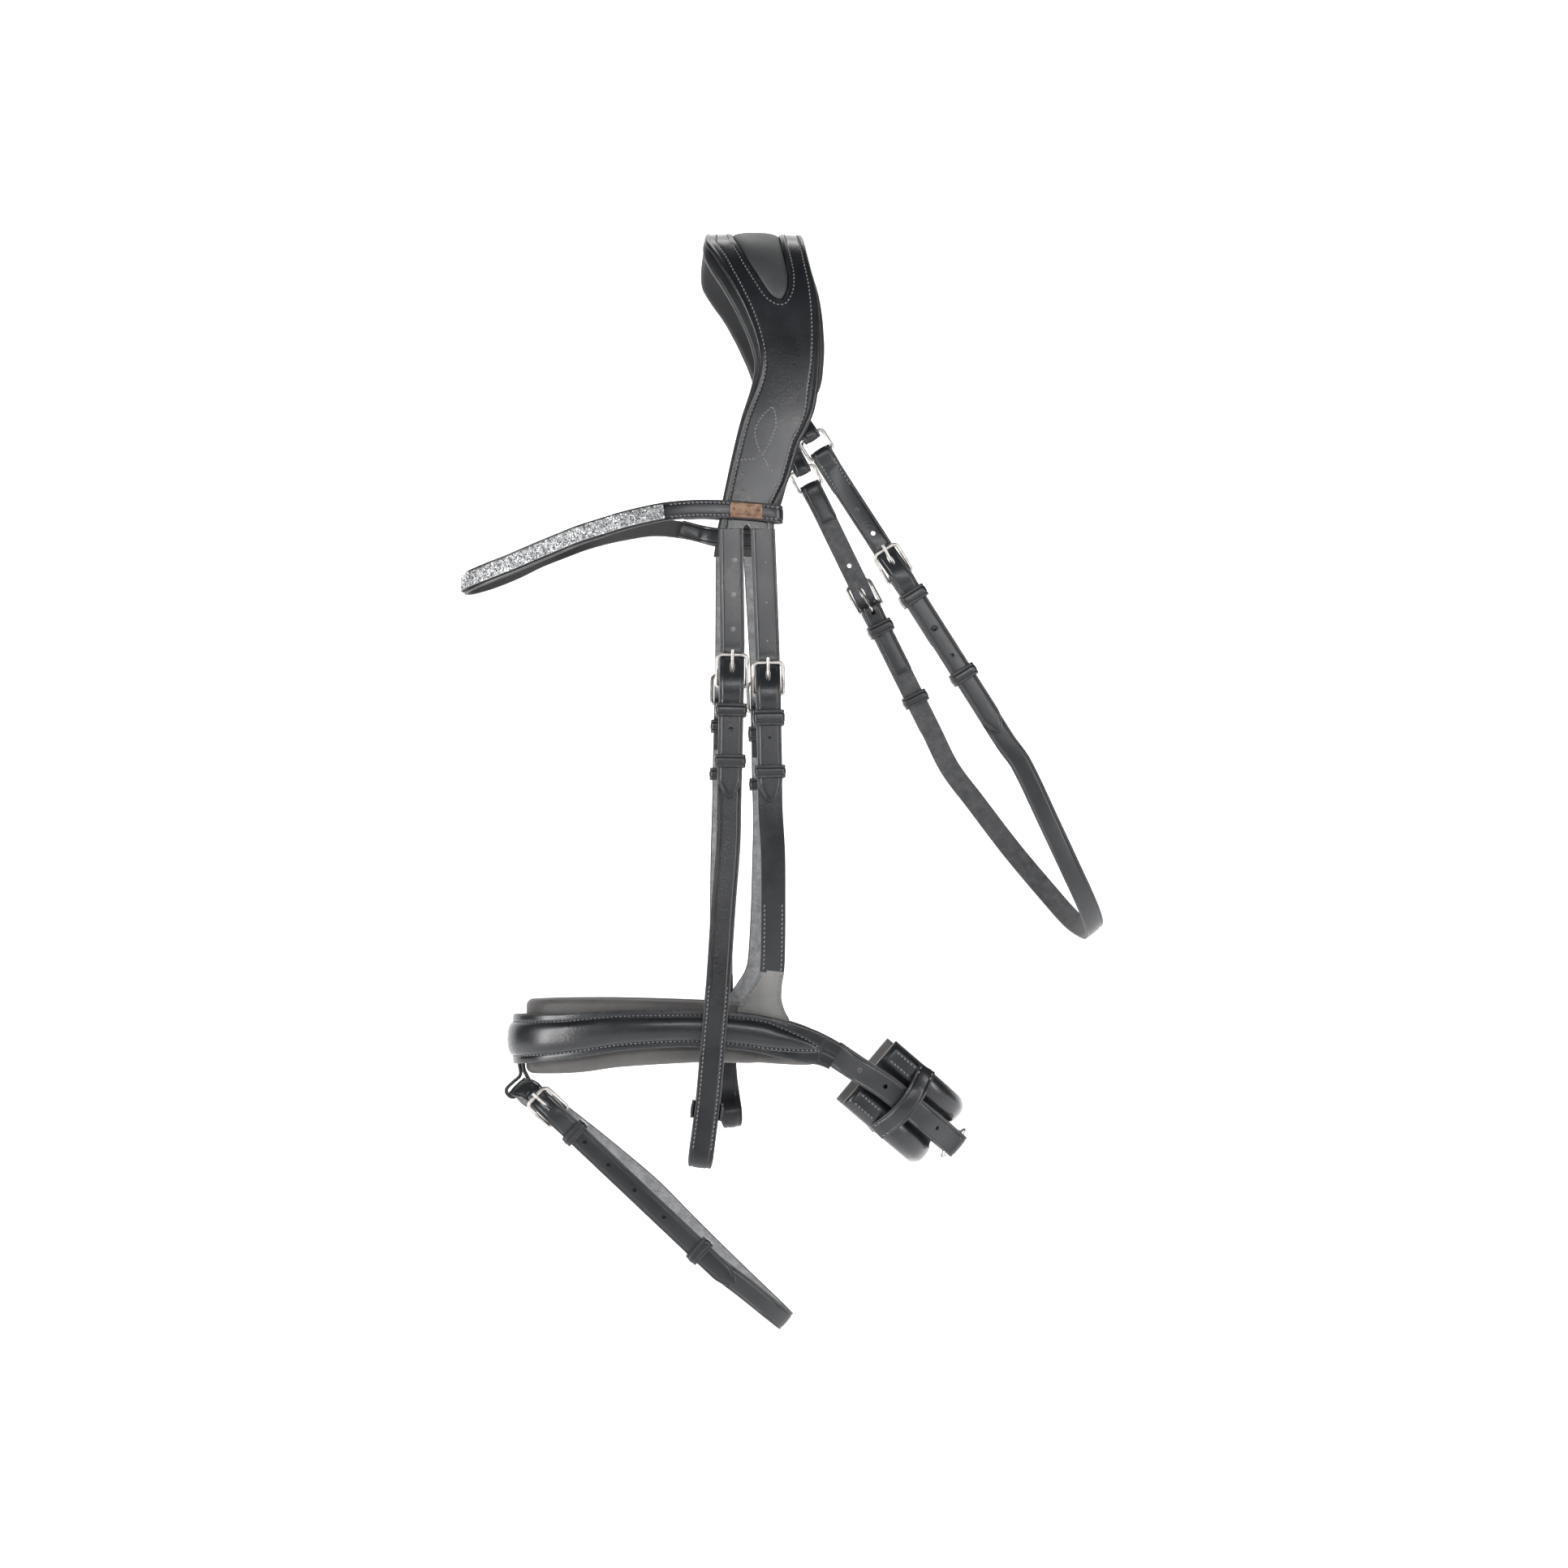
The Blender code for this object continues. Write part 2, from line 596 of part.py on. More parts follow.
def make_cheek(side):
    name = SIDE_NAME[side]
    place = cheek_place(side, CHEEK_BAR)
    hinge = side_point(CHEEK_BAR[0], BILLET_Y + LEATHER / 2, ROOT_Z, side)
    root = side_point(CHEEK_ROOT_X[side], BILLET_Y, ROOT_Z, side)
    spare = [(-69.0, BILLET_TOP_N), (-50.0, BILLET_TOP_N), (-31.0, BILLET_TOP_N), (24.0, BILLET_N)]
    make_billet(name + "_cheek_billet", place, root, side, CHEEK_W, -10.4, spare, origin=hinge)

    run = [side_point(x, y, z, side) for x, y, z in CHEEK_RUN[side]]
    head = fold_path(place, 27.0) + straight(place)
    normals = fold_normals(place) + [place.n] * 3
    end = run[-1]
    down = (run[-1] - run[-2]).normalized()
    inward = Vector((0.0, -side, 0.0))
    loop = Place(end + down * 5.0 + inward * BIT_LOOP, down, (0.0, side, 0.0))
    turn = []
    turn_normals = []
    for angle in (90, 60, 30, 0, -30, -60, -90):
        a = math.radians(angle)
        turn.append(loop.at(BIT_LOOP * math.cos(a), BIT_LOOP * math.sin(a)))
        turn_normals.append(loop.s * math.cos(a) + loop.n * math.sin(a))
    back = [loop.at(-6.0, -BIT_LOOP * 0.9)]
    for share in (0.6, 0.0):
        back.append(run[-2] + (run[-1] - run[-2]) * share + inward * (2 * LAYER + 0.1))
    back += [run[-3] + inward * (2 * LAYER + 0.1), run[-4] + inward * (2 * LAYER + 0.1)]
    path = head + run + turn + back
    directions = normals + [loop.n] * len(run) + turn_normals + [-loop.n] * len(back)
    points, facing = sweep(path, directions)
    fold = loop.at(BIT_LOOP, 0.0)
    widths = [CHEEK_W * interpolate(FOLD_SHAPE[side], (point - fold).length) for point in points]
    strap = band(name + "_cheekpiece", leather(), points, facing, widths, LEATHER, origin=hinge)
    tongue_slot(strap, place, name + "_cheek_slot")
    buckle_frame(name + "_cheek_buckle_frame", place, CHEEK_W, origin=hinge)
    tongue(name + "_cheek_buckle_prong", place)
    keeper(name + "_cheek_fixed_keeper", place, FIXED_S, 7.2, CHEEK_W, -LAYER - LEATHER / 2,
           BILLET_N + LEATHER / 2, origin=hinge)
    keeper(name + "_cheek_runner", place, RUNNER_S, 7.0, CHEEK_W, LAYER - LEATHER / 2,
           BILLET_N + LEATHER / 2)
    bit = bit_place(run, side)
    cradle(name + "_bit_keeper", bit, 9.6, CHEEK_W + 0.4, -2 * LAYER - 0.2 - LEATHER / 2, LEATHER / 2, hinge)


def make_rear(side):
    name = SIDE_NAME[side]
    place = cheek_place(side, REAR_BAR[side])
    place = Place(place.o, (0.02, 0.0, -1.0), (0.0, side, 0.0))
    root = side_point(REAR_ROOT_X, BILLET_Y, ROOT_Z, side)
    spare = [(-72.0, BILLET_TOP_N), (-50.0, BILLET_TOP_N), (-29.0, BILLET_TOP_N), (24.0, BILLET_N)]
    make_billet(name + "_noseband_billet", place, root, side, CHEEK_W, -10.4, spare, tip_s=59.0)

    run = [side_point(x, y, z, side) for x, y, z in HANGER_RUN[side]]
    foot = run[-1]
    gusset = [side_point(foot.x + x, y, foot.z + z, side) for x, y, z in GUSSET_RUN]
    path = fold_path(place, 27.0) + straight(place) + run + gusset
    directions = fold_normals(place) + [place.n] * (3 + len(run) + len(gusset))
    points, facing = sweep(path, directions)
    widths = []
    for point in points:
        widths.append(interpolate(GUSSET_W, point.z - foot.z))
    strap = band(name + "_noseband_hanger", leather(), points, facing, widths, LEATHER)
    tongue_slot(strap, place, name + "_noseband_slot")
    buckle_frame(name + "_noseband_buckle_frame", place, CHEEK_W)
    tongue(name + "_noseband_buckle_prong", place)
    keeper(name + "_noseband_fixed_keeper", place, FIXED_S, 8.4, CHEEK_W, -LAYER - LEATHER / 2,
           BILLET_N + LEATHER / 2)
    keeper(name + "_noseband_runner", place, RUNNER_S + 1.5, 7.0, CHEEK_W, LAYER - LEATHER / 2,
           BILLET_N + LEATHER / 2)


# ---- browband ------------------------------------------------------------------------
BROW_SIDE = [(-163.4, 0.0), (-162.6, 5.0), (-159.4, 10.6), (-150, 17.0), (-137, 23.5), (-124, 29.5),
             (-111, 35.2), (-98.8, 41), (-86, 46), (-74, 50.2), (-61, 54), (-51, 56.4), (-36, 58.2),
             (-20, 58.6), (-6, 58.6), (4, 58.6)]
BROW_Z = [(-163.4, -187.4), (-150, -183.0), (-137, -178.7), (-124, -173.9), (-111, -169.2),
          (-98.8, -165), (-86, -161.5), (-74, -158.3), (-61, -155.6), (-51, -154), (-36, -152.9),
          (-20, -152.9), (0, -154.2), (14, -155.6)]
BROW_FAR_LIFT = [(-163, 0.0), (-150, 1.0), (-137, 3.0), (-124, 5.6), (-90, 9.2), (-60, 9.0), (-42, 6.6),
                 (-28, 2.6), (-20, 1.0), (-10, 0.4)]
BROW_W = [(-164, 11.6), (-120, 11.4), (-60, 10.4), (12, 9.8)]


def brow_point(x, y, side):
    z = interpolate(BROW_Z, x)
    if side > 0:
        z += interpolate(BROW_FAR_LIFT, x)
    return side_point(x, y, z, side)


def brow_end(side):
    """From the main band, round the back edge of the headpiece, to the end of the inner layer."""
    out = [brow_point(9.6, 57.6, side), brow_point(11.6, 55.2, side), brow_point(9.6, 52.6, side),
           brow_point(4, 51.2, side), brow_point(-8, 51.0, side), brow_point(-18, 51.2, side),
           brow_point(-24.5, 52.6, side), brow_point(-31, 55.2, side), brow_point(-42, 54.9, side)]
    facing = [vec(0.6, 0.8 * side, 0), vec(1, 0, 0), vec(0.6, -0.8 * side, 0)]
    facing += [vec(0, -side, 0)] * 6
    return out, facing


def brow_main():
    half = [(x, y) for x, y in BROW_SIDE]
    near = [brow_point(x, y, -1) for x, y in half]
    far = [brow_point(x, y, 1) for x, y in half[1:]]
    near_facing = []
    for i, (x, y) in enumerate(half):
        ahead = half[min(i + 1, len(half) - 1)]
        behind = half[max(i - 1, 0)]
        dx = ahead[0] - behind[0]
        dy = ahead[1] - behind[1]
        if i == 0:
            near_facing.append(vec(-1, 0, 0))
        else:
            near_facing.append(vec(-dy, -dx, 0).normalized())
    far_facing = [vec(n.x, -n.y, n.z) for n in near_facing[1:]]
    return list(reversed(near)) + far, list(reversed(near_facing)) + far_facing


def make_browband():
    main, facing = brow_main()
    near_end, near_facing = brow_end(-1)
    far_end, far_facing = brow_end(1)
    path = list(reversed(near_end)) + main + far_end
    normals = list(reversed(near_facing)) + facing + far_facing
    points, directions = sweep(path, normals)
    widths = [interpolate(BROW_W, p.x) for p in points]
    band("browband_leather", leather(), points, directions, widths, LEATHER)

    lift = LEATHER / 2 + GAP + 0.9
    raised = []
    raised_normals = []
    for point, normal in zip(*sweep(main, facing)):
        if point.x < -51.0:
            raised.append(point + normal.normalized() * lift)
            raised_normals.append(normal)
    crystal = material("crystal_chips", (0.75, 0.77, 0.8), 0.12)
    band("browband_crystal_strip", crystal, raised, raised_normals, 9.0, 1.8, round_edge=0.5)

    plate_lift = LEATHER / 2 + GAP + 0.5
    ends = (-16.6, 1.0)
    plate = []
    for k in range(2):
        x = ends[k]
        plate.append(vec(x, -58.6 - plate_lift, interpolate(BROW_Z, x)))
    brass = material("copper_plate", (0.78, 0.42, 0.28), 0.3, 1.0)
    band("browband_nameplate", brass, plate, [vec(0, -1, 0)] * 2, 8.6, 1.0, round_edge=0.2)


# ---- noseband ------------------------------------------------------------------------
NOSE_HALF = [(-134.6, 0.0), (-133.4, 9.0), (-129.2, 18.0), (-120.5, 26.6), (-105, 34.2), (-90, 39.6),
             (-75, 43.6), (-55, 46.6), (-30, 48.2), (0, 48.2), (22, 47.0), (36, 45.4)]
NOSE_MID = [(-135, -442.0), (-108, -440.4), (-76, -436.6), (-50, -435.4), (-30, -435.4), (-15, -436.4),
            (0, -438.4), (11, -441.0), (20, -443.2), (28.4, -445.4), (36, -448.6)]
NOSE_TALL = [(-135, 27.5), (-108, 25.0), (-76, 22.4), (-50, 20.6), (-30, 20.4), (0, 20.4), (20, 20.0),
             (28.4, 18.8), (36, 17.2)]
PAD_MID = [(-128, -440.4), (-100, -439.6), (-76, -438.0), (-30, -437.4), (-10, -438.4), (0, -439.8),
           (11, -443.4), (22, -446.6), (32, -448.6)]
PAD_TALL = [(-128, 41.6), (-100, 41.0), (-76, 37.6), (-30, 33.4), (-10, 32.2), (0, 30.2), (11, 24.0),
            (22, 18.6), (32, 14.6)]
PAD_END_X = 32.0
PAD_STEP = 10.3          # from the middle of the noseband leather to the middle of its pad
NOSE_PAD_THICK = 7.6
NOSE_END_X = 36.0
NOSE_SWELL = 1.6         # how far the noseband is raised between its rows of stitches


def nose_half(shift):
    """Near-side points and normals in plan, moved inwards by shift."""
    route = [Vector((x, -y, 0.0)) for x, y in NOSE_HALF]
    flat = smooth(route, chord_knots(route), 2)
    out = []
    for i, point in enumerate(flat):
        if i == 0:
            normal = vec(-1, 0, 0)
        else:
            along = flat[min(i + 1, len(flat) - 1)] - flat[i - 1]
            normal = vec(-abs(along.y), -along.x, 0).normalized()
            if along.y > 0:
                normal.x = -normal.x
        out.append((point - normal * shift, normal))
    return out


def nose_band(name, mat, shift, mid, tall, thickness, last_x, **extra):
    near = [row for row in nose_half(shift) if row[0].x <= last_x]
    near = [(vec(p.x, p.y, interpolate(mid, p.x)), n) for p, n in near]
    far = [(vec(p.x, -p.y, p.z), vec(n.x, -n.y, n.z)) for p, n in near[1:]]
    rows = list(reversed(near)) + far
    points = [p for p, _ in rows]
    normals = [n for _, n in rows]
    widths = [interpolate(tall, p.x) for p in points]
    return band(name, mat, points, normals, widths, thickness, **extra)


CRANK_FALL = math.radians(40.5)
CRANK_DIR = Vector((math.cos(CRANK_FALL), 0.0, -math.sin(CRANK_FALL)))
CRANK_UP = Vector((math.sin(CRANK_FALL), 0.0, math.cos(CRANK_FALL)))
CRANK_START = Vector((34.0, 0.0, -446.0))
CRANK_B = 7.2            # the crank strap's middle, across the jaw pad


def crank_point(a, y, b=CRANK_B):
    """A point of the jaw assembly: a along the strap, b across it."""
    point = CRANK_START + CRANK_DIR * a + CRANK_UP * b
    point.y = y
    return point


def plan_normals(flat, outward_y):
    """Normals in the (a, y) plane of a path, on its outer side."""
    out = []
    for i in range(len(flat)):
        ahead = flat[min(i + 1, len(flat) - 1)]
        behind = flat[max(i - 1, 0)]
        da = ahead[0] - behind[0]
        dy = ahead[1] - behind[1]
        length = math.hypot(da, dy)
        out.append(CRANK_DIR * (dy / length) * -outward_y + vec(0, outward_y * da / length, 0))
    return out


ROLLER_A = 92.0
ROLLER_Y = -13.0
ROLLER_R = 1.9
ROLLER_BORE = 1.55
CRANK_BAR_A = 94.0       # the buckle frame's other bar, held by the chape
CRANK_BAR_Y = -1.0
CRANK_FRAME_HALF = CRANK_W / 2 + 2.4
CRANK_RISE = [(8.0, -4.8), (24.0, -2.8), (41.0, -0.4), (78.0, 1.0), (120.0, 1.0)]
CRANK_HOLES = ((24.0, -39.0), (41.0, -35.2), (78.0, -25.8))
JAW_PAD_TALL = 45.6
JAW_PAD_THICK = 8.0
JAW_PAD = [(30, -27.6), (43, -27.6), (57, -26.4), (69, -22), (78, -13.5), (81.6, 0), (78, 13.5), (69, 22),
           (57, 26.4), (43, 27.6), (30, 27.6)]


def crank_rise(a):
    """Height of the crank strap's middle across the jaw assembly, a along it."""
    return CRANK_B + interpolate(CRANK_RISE, a)


def crank_band(name, flat, outward_y):
    points = [crank_point(a, y, crank_rise(a)) for a, y in flat]
    points, normals = sweep(points, plan_normals(flat, outward_y))
    return band(name, leather(), points, normals, CRANK_W, LEATHER)


def make_jaw_pad():
    points = [crank_point(a, y) for a, y in JAW_PAD]
    points, normals = sweep(points, plan_normals(JAW_PAD, -1.0))
    band("jaw_pad", lining(), points, normals, JAW_PAD_TALL, JAW_PAD_THICK, round_edge=2.4)


def make_crank_strap():
    """From the noseband's near end, over the jaw pad, round the roller and back."""
    wrap = ROLLER_R + GAP + LEATHER / 2 + 0.15
    flat = [(6.5, -44.8), (14, -43.2), (26, -38.2), (42, -35.0), (56, -33.8), (70, -30.4), (80, -24.4),
            (87.5, -19.0), (ROLLER_A, ROLLER_Y - wrap)]
    for angle in (-60, -30, 0, 30, 60, 90):
        a = math.radians(angle)
        flat.append((ROLLER_A + wrap * math.cos(a), ROLLER_Y + wrap * math.sin(a)))
    flat += [(89.0, -9.4), (85.0, -11.4)]
    strap = crank_band("crank_strap", flat, -1.0)
    holes = []
    for a, y in CRANK_HOLES:
        axis = vec(0, 1, 0)
        if a > JAW_PAD[3][0]:
            axis = (vec(0, 1, 0) - CRANK_DIR * 0.6).normalized()
        holes.append((crank_point(a, y, crank_rise(a)), axis, CRANK_DIR, HOLE_R, HOLE_R, 2.6))
    punch(strap, "crank_holes", holes)


def make_crank_buckle():
    """A roller that turns on one bar of a plain frame."""
    axis_mid = crank_point(ROLLER_A, ROLLER_Y, crank_rise(ROLLER_A))
    roller_half = CRANK_FRAME_HALF - WIRE - 2 * GAP
    bm = bmesh.new()
    add_rod(bm, axis_mid, CRANK_UP, CRANK_DIR, ROLLER_R, ROLLER_R, roller_half, 16)
    roller = link("crank_roller", finish_mesh(bm, "crank_roller"), metal(), axis_mid)
    punch(roller, "roller_bore", [
        (axis_mid, CRANK_UP, CRANK_DIR, ROLLER_BORE, ROLLER_BORE, 2 * roller_half)], 16)

    far_bar = crank_point(CRANK_BAR_A, CRANK_BAR_Y, crank_rise(ROLLER_A))
    frame_dir = far_bar - axis_mid
    span = frame_dir.length
    frame_dir.normalize()
    middle = (far_bar + axis_mid) / 2
    loop = []
    for across, along in rounded_loop(CRANK_FRAME_HALF, span / 2, 2.2, 2):
        loop.append(middle + CRANK_UP * across + frame_dir * along)
    wire("crank_buckle_frame", metal(), loop, WIRE, closed=True, origin=axis_mid)


def make_crank_chape():
    """From the noseband's far end, over the jaw pad, to a fold round the frame's other bar."""
    wrap = WIRE + GAP + LEATHER / 2
    flat = [(6.5, 44.8), (14, 43.2), (26, 38.2), (42, 35.0), (56, 33.6), (70, 30.0), (80, 23.4), (86, 15.0),
            (CRANK_BAR_A - wrap - 1.0, 7.0)]
    for angle in (180, 215, 245, 270, 295, 325, 360):
        a = math.radians(angle)
        flat.append((CRANK_BAR_A + wrap * math.cos(a), CRANK_BAR_Y + wrap * math.sin(a)))
    flat += [(CRANK_BAR_A + wrap - 1.6, 7.2), (CRANK_BAR_A - 2.0, 12.8), (88.6, 19.0)]
    crank_band("crank_chape", flat, 1.0)


def make_noseband():
    nose_band("noseband_leather", leather(), 0.0, NOSE_MID, NOSE_TALL, LEATHER, NOSE_END_X, swell=NOSE_SWELL)
    nose_band("noseband_padding", lining(), PAD_STEP, PAD_MID, PAD_TALL, NOSE_PAD_THICK, PAD_END_X,
              round_edge=2.2)


# ---- throatlash ------------------------------------------------------------------------
THROAT = {
    -1: {"bar": (77.0, -188.4), "along": (0.535, 0.0, -0.845), "ring": 86.0, "tip": 101.0, "runner": 64.0},
    1: {"bar": (69.0, -193.4), "along": (0.445, 0.0, -0.896), "ring": 84.6, "tip": 88.0, "runner": 59.0},
}
THROAT_FIXED_S = 13.0
THROAT_PIVOT = (28.3, -111.0)
THROAT_LOW = [
    (143.0, -52.4, -291.0), (159.0, -47.6, -323.0), (171.6, -40.0, -347.5), (182.6, -27.0, -367.0),
    (188.8, -13.0, -378.0), (190.2, 0.0, -382.2), (187.6, 13.0, -380.6), (182.2, 27.0, -375.0),
    (172.4, 40.0, -361.8), (150.4, 48.6, -334.0), (130.4, 52.2, -307.0)]
THROAT_LOW_N = [(0, -1, 0), (0.08, -1, -0.1), (0.2, -1, -0.3), (0.4, -0.8, -0.55), (0.55, -0.45, -0.7),
                (0.62, 0, -0.78), (0.6, 0.45, -0.7), (0.45, 0.8, -0.5), (0.25, 1, -0.25), (0.1, 1, -0.08),
                (0, 1, 0)]
THROAT_Y = 52.0


def throat_place(side):
    spec = THROAT[side]
    return Place((spec["bar"][0], side * THROAT_Y, spec["bar"][1]), spec["along"], (0.0, side, 0.0))


def throat_ring_frame(side, place):
    """The ring hangs between the headpiece tab and the billet's fold."""
    spec = THROAT[side]
    return Place(place.at(-spec["ring"], RING_N), spec["along"], (0.0, side, 0.0))


RING_SHORT = 6.2         # half the ring, bar to bar
RING_R = 1.0
RING_N = -1.6            # the ring lies a little deeper than the billet


def make_throat_side(side):
    name = SIDE_NAME[side]
    place = throat_place(side)
    spec = THROAT[side]
    ring = throat_ring_frame(side, place)
    swing = (THROAT_PIVOT[0], 0.0, THROAT_PIVOT[1])
    half = SMALL_W / 2 + 0.5 + RING_R
    loop = []
    for across, along in rounded_loop(half, RING_SHORT, 1.8, 2):
        loop.append(ring.at(along, 0.0, across))
    wire(name + "_throat_ring", metal(), loop, RING_R, closed=True, origin=swing)

    wrap = RING_R + GAP + LEATHER / 2
    low_bar = ring.at(RING_SHORT, 0.0)
    fold = Place(low_bar, spec["along"], (0.0, side, 0.0))
    start = [fold.at(22.0, -2 * LAYER - 0.1), fold.at(8.0, -2 * LAYER - 0.1), fold.at(3.0, -wrap)]
    facing = [-fold.n] * 3
    for angle in (265, 225, 180, 135, 95):
        a = math.radians(angle)
        start.append(fold.at(wrap * math.cos(a), wrap * math.sin(a)))
        facing.append(fold.s * math.cos(a) + fold.n * math.sin(a))
    start += [fold.at(4.5, wrap * 0.62), fold.at(9.0, 0.1), fold.at(24.0, 0.0)]
    facing += [fold.n] * 3
    below = billet_path(place)
    tip_s = spec["tip"]
    below += [place.at(tip_s * 0.4, BILLET_N), place.at(tip_s * 0.7, BILLET_N), place.at(tip_s, BILLET_N)]
    path = start + below
    directions = facing + [place.n] * len(below)
    points, normals = sweep(path, directions)
    node = band(name + "_throat_billet", leather(), points, normals, SMALL_W, LEATHER, tip=10.0, origin=swing)
    holes = [(-44.0, BILLET_TOP_N), (-28.0, BILLET_TOP_N), (34.0, BILLET_N), (52.0, BILLET_N)]
    billet_holes(node, place, name + "_throat_holes", -10.4, holes)

    buckle_frame(name + "_throat_buckle_frame", place, SMALL_W, origin=swing)
    tongue(name + "_throat_buckle_prong", place)
    keeper(name + "_throat_fixed_keeper", place, THROAT_FIXED_S, 7.2, SMALL_W, -LAYER - LEATHER / 2,
           BILLET_N + LEATHER / 2, origin=swing)
    keeper(name + "_throat_runner", place, spec["runner"], 7.0, SMALL_W, LAYER - LEATHER / 2,
           BILLET_N + LEATHER / 2)


def make_throat_strap():
    near = throat_place(-1)
    far = throat_place(1)
    swing = (THROAT_PIVOT[0], 0.0, THROAT_PIVOT[1])
    head = fold_path(near, 42.0)
    head_n = fold_normals(near)
    head += [near.at(45.0, LAYER), near.at(80.0, LAYER), near.at(108.0, LAYER)]
    head_n += [near.n] * 3
    tail = fold_path(far, 42.0)
    tail_n = fold_normals(far)
    tail += [far.at(45.0, LAYER), far.at(80.0, LAYER), far.at(104.0, LAYER)]
    tail_n += [far.n] * 3
    low = [vec(*p) for p in THROAT_LOW]
    low_n = [vec(*n).normalized() for n in THROAT_LOW_N]
    path = head + low + list(reversed(tail))
    normals = head_n + low_n + list(reversed(tail_n))
    points, directions = sweep(path, normals)
    node = band("throatlash_strap", leather(), points, directions, SMALL_W, LEATHER, origin=swing)
    tongue_slot(node, near, "throat_near_slot")
    tongue_slot(node, far, "throat_far_slot")


TAB_W = 9.6


def make_throat_tab(side):
    """A leather tab under the headpiece's back edge, folded round the ring's upper bar."""
    name = SIDE_NAME[side] + "_throat_tab"
    ring = throat_ring_frame(side, throat_place(side))
    bar = ring.at(-RING_SHORT, 0.0)
    along = THROAT[side]["along"]
    fold = Place(bar, along, (0.0, side, 0.0))
    thick_wrap = RING_R + GAP + THIN / 2
    long_wrap = thick_wrap + 0.7
    path = [fold.at(-10.0, -0.95), fold.at(-5.5, -0.95), fold.at(-2.2, -thick_wrap * 0.9)]
    facing = [-fold.n] * 3
    for angle in (-90, -60, -30, 0, 30, 60, 90):
        a = math.radians(angle)
        path.append(fold.at(long_wrap * math.cos(a), thick_wrap * math.sin(a)))
        facing.append(fold.s * math.cos(a) + fold.n * math.sin(a))
    path += [fold.at(-2.2, thick_wrap * 0.9), fold.at(-5.5, 0.95), fold.at(-10.0, 0.95)]
    facing += [fold.n] * 3
    points, normals = sweep(path, facing)
    band(name, leather(), points, normals, TAB_W, THIN)


# ---- flash -----------------------------------------------------------------------------
FLASH_PIVOT = (-132.8, -468.2)
FLASH_Y = 15.0
FLASH_LOOP_W = 8.0
FLASH_LOOP_THICK = THIN
FLASH_BAR = (-109.6, -484.6)
FLASH_ALONG = (0.728, 0.0, -0.686)
FLASH_FAR = [(-115.0, 14.0, -480.6), (-96.0, 17.0, -495.0), (-77.0, 18.0, -510.4), (-58.0, 18.0, -526.6),
             (-40.0, 17.4, -544.6), (-22.0, 16.0, -562.4), (-5.0, 13.0, -578.6), (9.6, 8.0, -592.2)]
FLASH_END = (16.6, -598.6)
FLASH_NEAR = [(-6.0, -13.2, -579.6), (9.6, -8.0, -592.6)]


def flash_place():
    return Place((FLASH_BAR[0], -FLASH_Y, FLASH_BAR[1]), FLASH_ALONG, (0.0, -1.0, 0.0))


def make_flash():
    place = flash_place()
    pivot = vec(FLASH_PIVOT[0], 0.0, FLASH_PIVOT[1])
    head = fold_path(place, 34.0)
    head_n = fold_normals(place)
    head += [place.at(30.0, LAYER), place.at(70.0, LAYER), place.at(118.0, LAYER)]
    head_n += [place.n] * 3
    turn = vec(0.766, 0.0, -0.643)
    low = [vec(*p) for p in FLASH_NEAR] + [vec(FLASH_END[0], 0.0, FLASH_END[1])]
    low_n = [vec(0, -1, 0), vec(0.5, -0.75, -0.42), turn]
    far = [vec(*p) for p in reversed(FLASH_FAR)]
    far_n = [vec(0.5, 0.75, -0.42)] + [vec(0, 1, 0)] * (len(far) - 1)
    front = vec(-0.7071, 0.0, 0.7071)
    nose = [pivot + vec(7.0, 12.4, -7.2), pivot + vec(2.6, 9.4, -2.6), pivot + vec(0.4, 5.4, -0.4), pivot,
            pivot + vec(0.4, -5.4, -0.4)]
    nose_n = [vec(-0.3, 1, 0.3), vec(-0.5, 0.7, 0.5), vec(-0.65, 0.4, 0.65), front, vec(-0.6, -0.5, 0.6)]
    billet = billet_path(place)
    billet[0] = place.at(-BUCKLE_RISE - 4.2, BILLET_TOP_N - 2.6)
    billet += [place.at(60.0, BILLET_N), place.at(100.0, BILLET_N), place.at(134.0, BILLET_N)]
    path = head + low + far + nose + billet
    normals = head_n + low_n + far_n + nose_n + [place.n] * len(billet)
    points, directions = sweep(path, normals)
    node = band("flash_strap", leather(), points, directions, SMALL_W, LEATHER, tip=10.0, origin=pivot)
    tongue_slot(node, place, "flash_slot")
    spare = [(20.0, BILLET_N), (38.0, BILLET_N), (58.0, BILLET_N), (80.0, BILLET_N)]
    billet_holes(node, place, "flash_holes", -10.4, spare)
    buckle_frame("flash_buckle_frame", place, SMALL_W, origin=pivot)
    tongue("flash_buckle_prong", place)
    keeper("flash_fixed_keeper", place, 12.6, 6.0, SMALL_W, -LAYER - LEATHER / 2,
           BILLET_N + LEATHER / 2, origin=pivot)
    keeper("flash_runner", place, 107.0, 7.0, SMALL_W, LAYER - LEATHER / 2, BILLET_N + LEATHER / 2)


